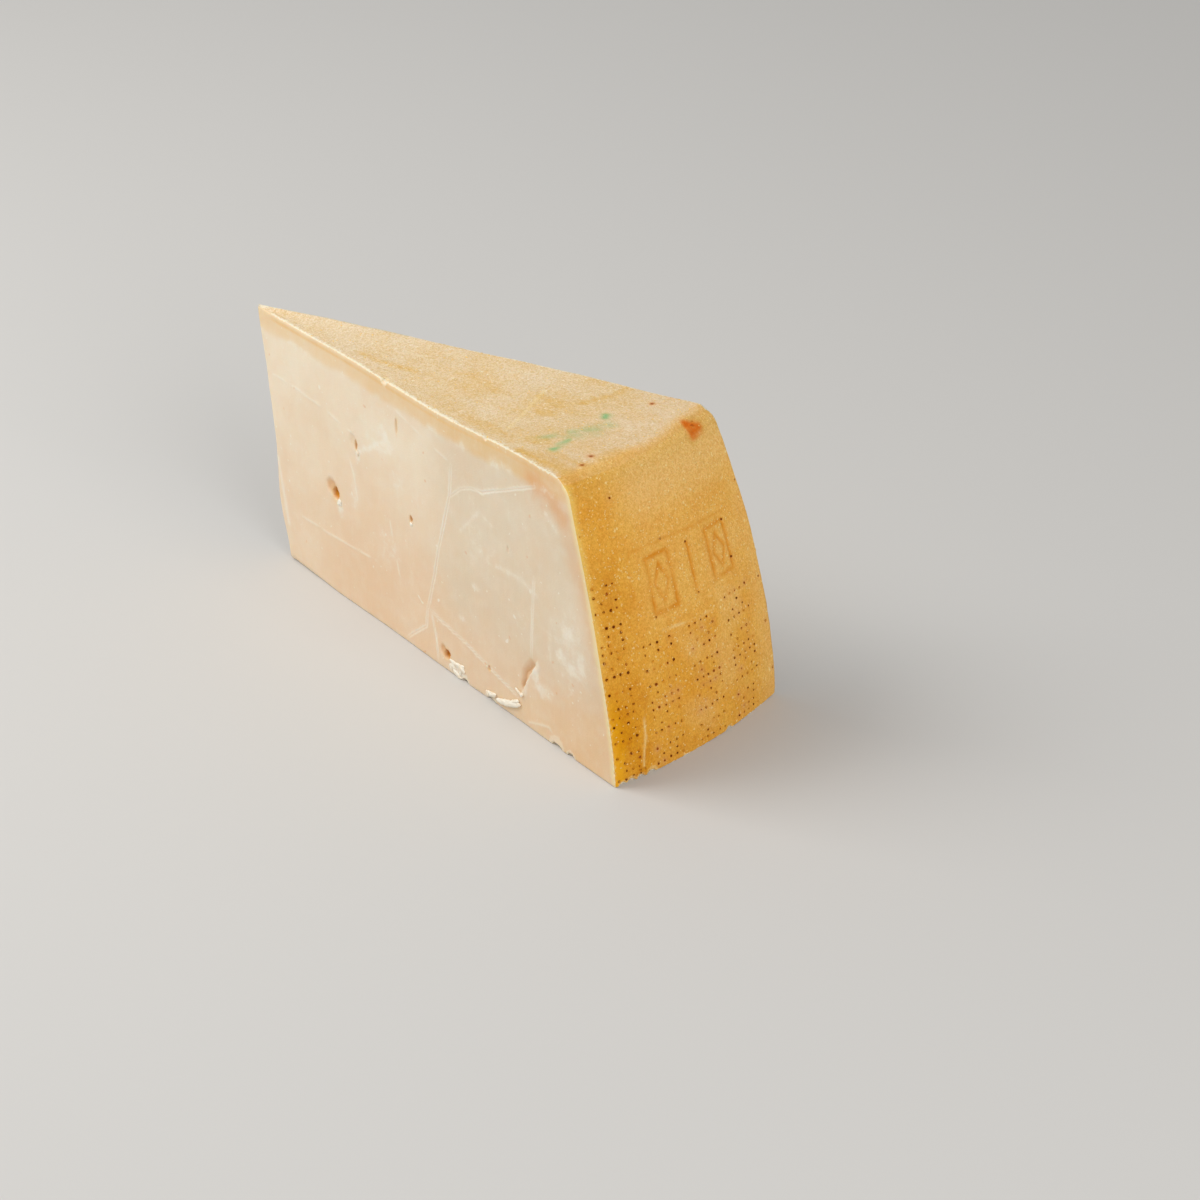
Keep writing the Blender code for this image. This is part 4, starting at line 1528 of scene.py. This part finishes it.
    def paint_cuts(self):
        surface = self.surface
        cut = surface.on_near | surface.on_far | surface.on_tip
        near = surface.on_near
        spots = self.cut_spots
        wander = 0.0014 * self.noise(0.018, 50.0) + 0.0008 * self.noise(0.0045, 51.0)
        band = fall(surface.from_top + wander, *AMBER_BAND)
        closer = step(surface.radius, *AMBER_GROWS)
        self.brush("amber", band * (0.44 + 0.25 * closer), cut)
        lower = fall(surface.from_top + wander, *PALE_BAND_END) * step(surface.from_top, *PALE_BAND_START)
        self.brush("scuff", 0.85 * lower * step(self.noise(0.0080, 52.0), -0.3, 0.5), cut)
        side_band = fall(surface.from_rind + wander, *SIDE_BAND)
        self.brush("amber", 0.42 * side_band, cut)
        strip = fall(surface.from_rind + 0.3 * wander, *CREAM_STRIP)
        self.brush("edge", 0.60 * strip, cut)
        orange = step(surface.radius, *ORANGE_FROM_TIP) * fall(surface.from_top, *ORANGE_UNDER_TOP)
        streaky = step(self.noise(0.007, 53.0), -0.5, 0.6)
        self.brush("amber_deep", 0.30 * orange * streaky, near)
        # Warmer and darker towards the foot and away from the tip: partly the paste's own pinker tone, partly
        # painted shade and warm reflected light
        warm = 0.22 + 0.78 * fall(surface.height, *WARM_UP_TO) + 0.22 * self.noise(0.025, 54.0)
        warm *= 0.60 + 0.40 * step(surface.radius, *WARM_FROM_TIP)
        self.brush("warm", warm, cut)
        # Greyer towards the outer end, less so at the foot: partly the paste's own tone, partly painted shade
        # where the light falls off
        grey = step(surface.radius, *GREY_FROM_TIP) * (0.35 + 0.65 * step(surface.height, *GREY_FROM_BASE))
        self.brush("grey", 0.70 * grey, near)
        veil = step(self.noise(0.021, 55.0), -0.10, 0.60)
        veil += 0.6 * grey * step(self.noise(0.013, 56.0), 0.0, 0.6)
        self.brush("scuff", 0.38 * veil, cut)
        self.blots(NEAR_BLOTS, spots, near)
        self.strokes(NEAR_STROKES, spots, near)
        draw = random.Random(FAR_SEED + 1)
        for _ in range(FAR_SCUFFS):
            middle = (draw.uniform(*FAR_SCUFF_RADII), draw.uniform(*FAR_SCUFF_HEIGHTS))
            half_sizes = (draw.uniform(*FAR_SCUFF_LENGTHS), draw.uniform(*FAR_SCUFF_WIDTHS))
            strength, turn = draw.uniform(0.6, 1.0), draw.uniform(0.0, 3.0)
            self.blot("scuff", spots, *middle, *half_sizes, strength, turn, surface.on_far)

    def paint_rind(self):
        surface = self.surface
        rind = surface.on_rind | surface.on_top
        on_top = surface.on_top
        on_rim = rind & (surface.height > RIM_FROM)
        degrees = np.degrees(surface.bearing)
        towards_near = 1 - step(surface.bearing, -0.11, 0.06)
        inward = surface.from_rind + 0.0014 * self.noise(0.006, 60.0) - 0.0035 * towards_near
        self.brush("top", step(inward, *TOP_RIND_FROM_RIM), on_top)
        crease = bell(surface.from_rind - CREASE_PLACE, CREASE_WIDTH) * towards_near
        self.brush("golden", 0.48 * crease, on_top)
        streaks = noise_at(surface.points * (0.25, 1.0, 1.0), 0.0045, (61.0, 0.0, 0.0))
        outer = step(surface.radius, *GOLD_FROM_TIP) * (1 - 0.40 * step(surface.radius, *GOLD_WEAKENS))
        patchy = np.clip(0.50 + 0.45 * self.noise(0.020, 61.0) + 0.35 * streaks, 0, 1)
        paler = step(surface.bearing, 0.02, 0.14) * (1 - step(surface.radius, *PALE_TOP_ENDS))
        self.brush("golden", 0.80 * outer * patchy * (1 - 0.45 * paler), on_top)
        self.brush("smudge", 0.08 * step(surface.radius, *SMUDGE_FROM_TIP), on_top)

        near_part = fall(degrees, -10.5, -3.0) * (1 - 0.84 * step(surface.height, *DEEP_WEAKENS_UP))
        uneven = np.clip(0.62 + 0.55 * self.noise(0.011, 62.0) + 0.25 * self.noise(0.004, 63.0), 0, 1)
        near_part *= 1 - 0.80 * fall(surface.from_cut, *DEEP_OFF_CORNER)
        self.brush("deep", 0.62 * near_part * uneven, surface.on_rind)
        corner_place = unrolled(*DEEP_CORNER)
        self.blot("deep", self.rind_spots, *corner_place, *DEEP_CORNER_SIZE, 0.34, 0.0, rind)
        rim = step(surface.height, *GOLD_RIM)
        self.brush("golden", 0.45 * rim, surface.on_rind)
        corner = fall(degrees, -9.0, -4.5) * fall(surface.height, *CORNER_UP_TO)
        self.brush("deep", corner * (0.80 + 0.25 * self.noise(0.009, 64.0)), surface.on_rind)
        lower = fall(surface.height, *LOWER_UP_TO) * fall(degrees, -4.0, 12.0)
        self.brush("deep", 0.28 * lower * uneven, surface.on_rind)
        upper = step(surface.height, *FAINT_UPPER) * step(degrees, -8.5, -2.0)
        self.brush("faint", np.where(surface.on_rind, 0.70 * upper, np.where(on_top, 0.62, 0.0)))
        middle = step(surface.height, *FAINT_MIDDLE) * step(degrees, -8.0, -3.0)
        self.brush("faint", 0.22 * middle, surface.on_rind)
        self.brush("faint", 0.40 * step(degrees, 7.0, 11.0), surface.on_rind)
        patches = step(self.noise(0.016, 65.0), 0.0, 0.5) * step(degrees, -5.0, 0.0)
        self.brush("faint", 0.35 * patches, surface.on_rind)

        edges = np.minimum(surface.height, np.where(surface.bearing > 0, surface.from_cut, 1.0))
        self.brush("ridge", 0.50 * fall(edges, *PALE_EDGES), rind)
        near_line = np.where(surface.on_rind & (surface.bearing < 0), surface.from_cut, 1.0)
        wavy = near_line + 0.0005 * self.noise(0.009, 67.0)
        higher = 0.10 + 0.52 * step(surface.height, *YELLOW_EDGE_GROWS)
        self.brush("edge", higher * fall(wavy, *YELLOW_EDGE))
        low_strip = fall(wavy, *BRIGHT_STRIP) * fall(surface.height, *BRIGHT_UP_TO)
        self.brush("bright", 0.62 * low_strip)
        tops = self.top_spots
        self.blots(TOP_BLOTS, tops, on_top)
        self.strokes(TOP_STROKES, tops, on_top)
        for path, width, strength in INK_STROKES:
            patchy = strength * step(self.noise(0.0040, 66.0), -0.80, 0.25)
            self.stroke("ink", tops, path, width, patchy, on_top)
        self.blot("golden", tops, *STAIN_GLOW, on_rim)
        self.stroke("stain", tops, STAIN_PATH, STAIN_WIDTH, 0.95, on_rim)
        for x, y, size in TOP_SPOTS:
            gap = np.hypot(*(tops - (x, y)).T) / size
            self.brush("brown", np.exp(-(gap**3)), on_rim)
            self.brush("furrow", 0.70 * bell(gap, 1.8), on_rim)

    def finish(self, name, materials):
        """The mesh, with its paint, its two materials and its corners cut into triangles."""
        self.shape_faces()
        for face in self.bm.faces:
            face.material_index = 1 if face.material_index in (RIND, TOP) else 0
            face.smooth = True
        bmesh.ops.triangulate(self.bm, faces=self.bm.faces)
        mesh = bpy.data.meshes.new(name)
        self.bm.to_mesh(mesh)
        self.bm.free()
        for paint, amount in self.paint.items():
            layer = mesh.attributes.new(paint, "FLOAT", "POINT")
            layer.data.foreach_set("value", amount.astype(np.float32))
        for material in materials:
            mesh.materials.append(material)
        return mesh


def axis_shift():
    """Moves places about the wheel's axis to where the node stands."""
    coarse = Surface(lattice_of(coarse_lattice())).points
    low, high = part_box(NODE)
    middle = (coarse.min(axis=0) + coarse.max(axis=0)) / 2
    return Vector(((low.x + high.x) / 2 - middle[0], (low.y + high.y) / 2 - middle[1], low.z))


def add_object(name, mesh):
    made = bpy.data.objects.new(name, mesh)
    bpy.context.scene.collection.objects.link(made)
    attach(made, "root")
    return made


class CHEESE_OT_body(bpy.types.Operator):
    """Makes the wedge with its cut faces, cracks, eyes, rind and pressed ornament"""

    bl_idname = "cheese.body"
    bl_label = "Cheese Body"

    def execute(self, context):
        scene = context.scene
        skin = Skin(scene.cheese_form, scene.cheese_pricks)
        near, far = skin.surface.on_near, skin.surface.on_far
        far_eyes, far_cracks = far_marks()
        skin.make_unevenness()
        skin.make_eyes(NEAR_EYES.values(), near)
        skin.make_eyes(far_eyes, far)
        skin.make_cracks(NEAR_CRACKS.values(), near)
        skin.make_cracks(far_cracks, far)
        skin.make_tear()
        skin.make_lines(NEAR_LINES, near, skin.cut_spots, LINE_HEIGHT, 0.5)
        skin.make_ornament()
        skin.make_prick_hollows()
        skin.make_ridge()
        skin.make_chips()
        skin.paint_cuts()
        skin.paint_rind()
        materials = (finish(scene, "cheese_paste"), finish(scene, "cheese_rind"))
        mesh = skin.finish("cheese_body", materials)
        mesh.transform(Matrix.Translation(axis_shift()))
        body = add_object("cheese_body", mesh)
        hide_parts(NODE)
        return {"FINISHED"}


def rind_place(bearing, height):
    """Point on the bulged rind, and the way straight out from there."""
    radius = float(side_radius(bearing, height))
    point = Vector(about_axis(radius, bearing, height))
    rise = 1e-4
    slope = (float(side_radius(bearing, height + rise)) - radius) / rise
    outward = Vector((math.cos(bearing), math.sin(bearing), -slope)).normalized()
    return point, outward


def points_mesh(name, points, **layers):
    """Loose points that hold values: a number or a vector for each."""
    mesh = bpy.data.meshes.new(name)
    mesh.from_pydata(points, [], [])
    for layer, values in layers.items():
        flat = np.array(values, dtype=np.float32)
        kind, field = ("FLOAT_VECTOR", "vector") if flat.ndim == 2 else ("FLOAT", "value")
        mesh.attributes.new(layer, kind, "POINT").data.foreach_set(field, flat.ravel())
    return mesh


def new_pattern(name, inputs):
    """An empty Geometry Nodes tree. Inputs are rows of name, socket type and first value."""
    tree = bpy.data.node_groups.new(name, "GeometryNodeTree")
    tree.interface.new_socket("Geometry", in_out="INPUT", socket_type="NodeSocketGeometry")
    for socket_name, kind, value in inputs:
        socket = tree.interface.new_socket(socket_name, in_out="INPUT", socket_type=kind)
        socket.default_value = value
    tree.interface.new_socket("Geometry", in_out="OUTPUT", socket_type="NodeSocketGeometry")
    given, wanted = tree.nodes.new("NodeGroupInput").outputs, tree.nodes.new("NodeGroupOutput").inputs
    return tree, given, wanted["Geometry"]


def end_pattern(tree, geometry, out, material):
    real = place_node(tree, "GeometryNodeRealizeInstances", {"Geometry": geometry})
    values = {"Geometry": real.outputs["Geometry"], "Material": material}
    tree.links.new(place_node(tree, "GeometryNodeSetMaterial", values).outputs["Geometry"], out)


def run_pattern(tree, mesh, name, material, **values):
    """Runs a tree on a mesh and keeps the result as a plain mesh."""
    carrier = bpy.data.objects.new(f"{name}_source", mesh)
    bpy.context.scene.collection.objects.link(carrier)
    modifier = carrier.modifiers.new(name, "NODES")
    modifier.node_group = tree
    sockets = {item.name: item.identifier for item in tree.interface.items_tree if item.item_type == "SOCKET"}
    for label, value in values.items():
        modifier[sockets[label.replace("_", " ")]] = value
    depsgraph = bpy.context.evaluated_depsgraph_get()
    made = bpy.data.meshes.new_from_object(carrier.evaluated_get(depsgraph), depsgraph=depsgraph)
    carrier.modifiers.clear()
    bpy.data.objects.remove(carrier, do_unlink=True)
    made.name = name
    if not made.polygons:
        raise RuntimeError(f"{name} came out empty")
    made.materials.clear()
    made.materials.append(material)
    made.shade_smooth()
    return made


def named_value(tree, name, kind):
    values = {"Name": name}
    return place_node(tree, "GeometryNodeInputNamedAttribute", values, data_type=kind).outputs["Attribute"]


def prick_pattern(material):
    """A small closed bowl at each point, leaning the way the point says."""
    inputs = (
        ("Radius", "NodeSocketFloat", 0.0005),
        ("Depth", "NodeSocketFloat", 0.0004),
    )
    tree, given, out = new_pattern("pin_pricks", inputs)
    values = {"Segments": 8, "Rings": 6, "Radius": given["Radius"]}
    ball = place_node(tree, "GeometryNodeMeshUVSphere", values)
    place = place_node(tree, "GeometryNodeInputPosition").outputs["Position"]
    parts = place_node(tree, "ShaderNodeSeparateXYZ", {"Vector": place}).outputs
    # The upper half of the ball is turned down into its lower half, so that it lines the bowl
    steep = calculate(tree, "DIVIDE", given["Depth"], given["Radius"])
    above = calculate(tree, "GREATER_THAN", parts["Z"], 0.0)
    shrink = product(tree, above, -2.0)
    level = product(tree, parts["Z"], calculate(tree, "ADD", shrink, 1.25))
    folded = product(tree, level, steep)
    joined = place_node(tree, "ShaderNodeCombineXYZ", {"X": parts["X"], "Y": parts["Y"], "Z": folded})
    values = {"Geometry": ball.outputs["Mesh"], "Position": joined.outputs["Vector"]}
    bowl = place_node(tree, "GeometryNodeSetPosition", values)
    values = {"Vector": named_value(tree, "lean", "FLOAT_VECTOR")}
    lean = place_node(tree, "FunctionNodeAlignRotationToVector", values, axis="Z")
    sprinkled = place_node(tree, "GeometryNodeInstanceOnPoints", {
        "Points": given["Geometry"],
        "Instance": bowl.outputs["Geometry"],
        "Rotation": lean.outputs["Rotation"],
        "Scale": named_value(tree, "size", "FLOAT_VECTOR"),
    })
    end_pattern(tree, sprinkled.outputs["Instances"], out, material)
    return tree


class CHEESE_OT_pricks(bpy.types.Operator):
    """Makes the dark pricks of the ornament in the rind"""

    bl_idname = "cheese.pricks"
    bl_label = "Pin Pricks"

    def execute(self, context):
        scene = context.scene
        pricks = scene.cheese_pricks
        draw = random.Random(pricks.seed + 1)
        shift = axis_shift()
        points, lean, sizes, fade = [], [], [], []
        for degrees, height, scale, faded in prick_places(pricks):
            place, outward = rind_place(math.radians(degrees), height)
            swell = RIND_RELIEF * noise.noise(place / RIND_WAVE)
            points.append(place + shift + outward * (swell + PRICK_LIFT))
            lean.append(outward[:])
            sizes.append((scale, scale * draw.uniform(0.85, 1.15), 1.0))
            fade.append(faded)
        mesh = points_mesh("pin_prick_points", points, lean=lean, size=sizes, fade=fade)
        material = finish(scene, "prick_crust")
        tree = prick_pattern(material)
        made = run_pattern(tree, mesh, "pin_pricks", material, Radius=pricks.radius, Depth=pricks.depth)
        add_object("pin_pricks", made)
        return {"FINISHED"}


# Shares of a fleck's radius that its three sizes have, at the least and at the most
SMALLEST_FLECK = (0.35, 0.35, 0.15)
LARGEST_FLECK = (1.0, 0.8, 0.35)
# Flecks lie closer from these radii on, and closest in a belt round this height
FLECKED_SIDE = (0.185, 0.200)
FLECKED_BELT = 0.080
FLECKED_BELT_WIDTH = 0.026


def fleck_pattern(material):
    """Small flat lumps scattered over a surface, as densely as it says."""
    inputs = (
        ("Radius", "NodeSocketFloat", 0.0004),
        ("Density", "NodeSocketFloat", 50000.0),
        ("Seed", "NodeSocketInt", 3),
    )
    tree, given, out = new_pattern("rind_flecks", inputs)
    dense = product(tree, given["Density"], named_value(tree, "fleck_share", "FLOAT"))
    values = {"Mesh": given["Geometry"], "Density": dense, "Seed": given["Seed"]}
    spread = place_node(tree, "GeometryNodeDistributePointsOnFaces", values)
    lump = place_node(tree, "GeometryNodeMeshIcoSphere", {"Radius": given["Radius"], "Subdivisions": 1})
    values = {0: SMALLEST_FLECK, 1: LARGEST_FLECK, "Seed": given["Seed"]}
    size = place_node(tree, "FunctionNodeRandomValue", values, data_type="FLOAT_VECTOR")
    sprinkled = place_node(tree, "GeometryNodeInstanceOnPoints", {
        "Points": spread.outputs["Points"],
        "Instance": lump.outputs["Mesh"],
        "Rotation": spread.outputs["Rotation"],
        "Scale": size.outputs["Value"],
    })
    end_pattern(tree, sprinkled.outputs["Instances"], out, material)
    return tree


class CHEESE_OT_flecks(bpy.types.Operator):
    """Scatters small pale flecks over the rind"""

    bl_idname = "cheese.flecks"
    bl_label = "Rind Flecks"

    def execute(self, context):
        scene = context.scene
        flecks = scene.cheese_flecks
        shift = axis_shift()
        bm = bmesh.new()
        bm.from_mesh(bpy.data.meshes["cheese_body"])
        spare = [face for face in bm.faces if face.material_index == 0]
        bmesh.ops.delete(bm, geom=spare, context="FACES")
        points = np.array([vert.co[:] for vert in bm.verts]) - np.array(shift)
        rind = bpy.data.meshes.new("rind_skin")
        bm.to_mesh(rind)
        bm.free()
        on_side = step(np.hypot(points[:, 0], points[:, 1]), *FLECKED_SIDE)
        belt = bell(points[:, 2] - FLECKED_BELT, FLECKED_BELT_WIDTH)
        share = 0.14 + on_side * (0.26 + 0.60 * belt)
        layer = rind.attributes.new("fleck_share", "FLOAT", "POINT")
        layer.data.foreach_set("value", share.astype(np.float32))
        material = finish(scene, "rind_fleck")
        tree = fleck_pattern(material)
        values = {"Radius": flecks.radius, "Density": flecks.density, "Seed": flecks.seed}
        add_object("rind_flecks", run_pattern(tree, rind, "rind_flecks", material, **values))
        return {"FINISHED"}


# Height over the floor that every torn bit keeps
LOWEST_BIT = 0.00005
# Torn bits on the near cut: radius, height, length, width, thickness, turn in degrees, bend, raggedness
TORN_BITS = (
    (0.1626, 0.0046, 0.0162, 0.0027, 0.0015, 18, 0.16, 0.62),
    (0.1592, 0.0034, 0.0090, 0.0020, 0.0012, 12, 0.10, 1.00),
    (0.1664, 0.0070, 0.0056, 0.0018, 0.0012, 30, 0.10, 1.00),
    (0.1520, 0.0034, 0.0056, 0.0020, 0.0012, 10, 0.30, 1.00),
    (0.1496, 0.0026, 0.0030, 0.0014, 0.0010, -30, 0.00, 1.00),
    (0.1300, 0.0056, 0.0096, 0.0018, 0.0009, 5, 0.40, 1.00),
    (0.1330, 0.0050, 0.0040, 0.0022, 0.0012, -20, 0.00, 1.00),
    (0.1300, 0.0014, 0.0056, 0.0018, 0.0010, -18, 0.00, 1.00),
    (0.1322, 0.0032, 0.0044, 0.0012, 0.0008, 78, 0.00, 1.00),
    (0.1268, 0.0032, 0.0040, 0.0024, 0.0007, 10, 0.00, 1.00),
    (0.0539, 0.0407, 0.0032, 0.0024, 0.0012, 65, 0.20, 1.00),
    (0.0671, 0.0671, 0.0022, 0.0013, 0.0007, 80, 0.00, 1.00),
    (0.1019, 0.0523, 0.0018, 0.0014, 0.0008, 20, 0.00, 1.00),
    (0.1688, 0.0124, 0.0042, 0.0010, 0.0009, -22, 0.00, 0.80),
    (0.1706, 0.0119, 0.0024, 0.0014, 0.0010, 48, 0.00, 0.80),
)


def torn_bit(bm, number, radius, height, length, width, thickness, turn, bend, raggedness):
    """One ragged lump of paste, half sunk into the near cut."""
    outward = Vector((-math.sin(HALF_ANGLE), -math.cos(HALF_ANGLE), 0.0))
    run = Vector((math.cos(HALF_ANGLE), -math.sin(HALF_ANGLE), 0.0))
    up = Vector((0.0, 0.0, 1.0))
    cos, sin = math.cos(math.radians(turn)), math.sin(math.radians(turn))
    lengthwise, widthwise = run * cos + up * sin, up * cos - run * sin
    middle = Vector(about_axis(radius, -HALF_ANGLE, height)) + outward * 0.15 * thickness
    shift = Vector((7.1 * number, 0.0, 0.0))
    made = bmesh.ops.create_icosphere(bm, subdivisions=4, radius=1.0)
    for vert in made["verts"]:
        spot = vert.co.copy()
        fine = length / width
        along = Vector((spot.x * fine, spot.y, spot.z))
        lumps = 0.40 * noise.noise(along * 1.3 + shift) + 0.25 * noise.noise(along * 3.7 + shift)
        ragged = 1 + raggedness * lumps
        x = spot.x * length / 2 * (1 + 0.1 * (ragged - 1))
        y = spot.y * width / 2 * ragged + bend * width * (spot.x**2 - 0.35)
        z = spot.z * thickness / 2 * ragged
        place = middle + lengthwise * x + widthwise * y + outward * z
        place.z = max(place.z, LOWEST_BIT)
        vert.co = place


class CHEESE_OT_torn_bits(bpy.types.Operator):
    """Makes the ragged torn bits that cling to the near cut"""

    bl_idname = "cheese.torn_bits"
    bl_label = "Torn Bits"

    def execute(self, context):
        bm = bmesh.new()
        for number, row in enumerate(TORN_BITS):
            torn_bit(bm, number, *row)
        bmesh.ops.recalc_face_normals(bm, faces=bm.faces)
        for face in bm.faces:
            face.smooth = True
        mesh = bpy.data.meshes.new("torn_bits")
        bm.to_mesh(mesh)
        bm.free()
        mesh.transform(Matrix.Translation(axis_shift()))
        mesh.materials.append(finish(context.scene, "torn_paste"))
        add_object("torn_bits", mesh)
        return {"FINISHED"}


def aimed(made, place, target):
    made.location = place
    made.rotation_euler = (Vector(target) - Vector(place)).to_track_quat("-Z", "Y").to_euler()
    bpy.context.scene.collection.objects.link(made)
    return made


def soft_light(name, place, size, power, colour):
    """A large square light that is turned to the middle of the cheese."""
    lamp = bpy.data.lights.new(name, "AREA")
    lamp.shape = "SQUARE"
    lamp.size = size
    lamp.energy = power
    lamp.color = colour
    aimed(bpy.data.objects.new(name, lamp), place, LIGHT_TARGET)


class CHEESE_OT_stage(bpy.types.Operator):
    """Makes the camera, the plain floor and the soft lights"""

    bl_idname = "cheese.stage"
    bl_label = "Stage"

    def execute(self, context):
        scene = context.scene
        stage = scene.cheese_stage
        lens = bpy.data.cameras.new("camera")
        lens.lens = CAMERA_LENS
        lens.sensor_width = SENSOR
        scene.camera = aimed(bpy.data.objects.new("camera", lens), CAMERA_PLACE, CAMERA_TARGET)

        mesh = bpy.data.meshes.new("floor")
        corners = [(x * FLOOR_HALF, y * FLOOR_HALF, 0) for x, y in ((-1, -1), (1, -1), (1, 1), (-1, 1))]
        mesh.from_pydata(corners, [], [(0, 1, 2, 3)])
        paint = bpy.data.materials.new("floor_paint")
        paint.use_nodes = True
        shader = paint.node_tree.nodes["Principled BSDF"]
        shader.inputs["Base Color"].default_value = (*stage.floor, 1.0)
        shader.inputs["Roughness"].default_value = 0.8
        mesh.materials.append(paint)
        floor = bpy.data.objects.new("floor", mesh)
        scene.collection.objects.link(floor)

        soft_light("key_light", KEY_PLACE, KEY_SIZE, stage.key, KEY_COLOUR)
        soft_light("fill_light", FILL_PLACE, FILL_SIZE, stage.fill, FILL_COLOUR)
        world = bpy.data.worlds.new("surround")
        world.use_nodes = True
        background = world.node_tree.nodes["Background"]
        background.inputs["Color"].default_value = (1.0, 1.0, 1.0, 1.0)
        background.inputs["Strength"].default_value = stage.surround
        scene.world = world
        scene.view_settings.view_transform = "Standard"
        return {"FINISHED"}


class CHEESE_PT_panel(bpy.types.Panel):
    """Lists the steps that make the cheese, with their sizes and colours"""

    bl_label = "Hard Cheese Wedge"
    bl_idname = "CHEESE_PT_panel"
    bl_space_type = "VIEW_3D"
    bl_region_type = "UI"
    bl_category = "Cheese"

    def draw(self, context):
        scene = context.scene
        for operator, groups in STEPS:
            box = self.layout.box()
            box.operator(operator.bl_idname)
            for group in groups:
                settings = getattr(scene, group)
                for name in type(settings).__annotations__:
                    box.prop(settings, name)


SETTINGS = {
    "cheese_form": CheeseForm,
    "cheese_colours": CheeseColours,
    "cheese_pricks": CheesePricks,
    "cheese_flecks": CheeseFlecks,
    "cheese_stage": CheeseStage,
}
STEPS = (
    (CHEESE_OT_body, ("cheese_form", "cheese_colours")),
    (CHEESE_OT_pricks, ("cheese_pricks",)),
    (CHEESE_OT_flecks, ("cheese_flecks",)),
    (CHEESE_OT_torn_bits, ()),
    (CHEESE_OT_stage, ("cheese_stage",)),
)


def register():
    for group in SETTINGS.values():
        bpy.utils.register_class(group)
    for name, group in SETTINGS.items():
        setattr(bpy.types.Scene, name, PointerProperty(type=group))
    for operator, _ in STEPS:
        bpy.utils.register_class(operator)
    bpy.utils.register_class(CHEESE_PT_panel)


def unregister():
    bpy.utils.unregister_class(CHEESE_PT_panel)
    for operator, _ in reversed(STEPS):
        bpy.utils.unregister_class(operator)
    for name, group in SETTINGS.items():
        delattr(bpy.types.Scene, name)
        bpy.utils.unregister_class(group)


def main():
    register()
    bpy.ops.cheese.body()
    bpy.ops.cheese.pricks()
    bpy.ops.cheese.flecks()
    bpy.ops.cheese.torn_bits()
    bpy.ops.cheese.stage()


if __name__ == "__main__":
    main()
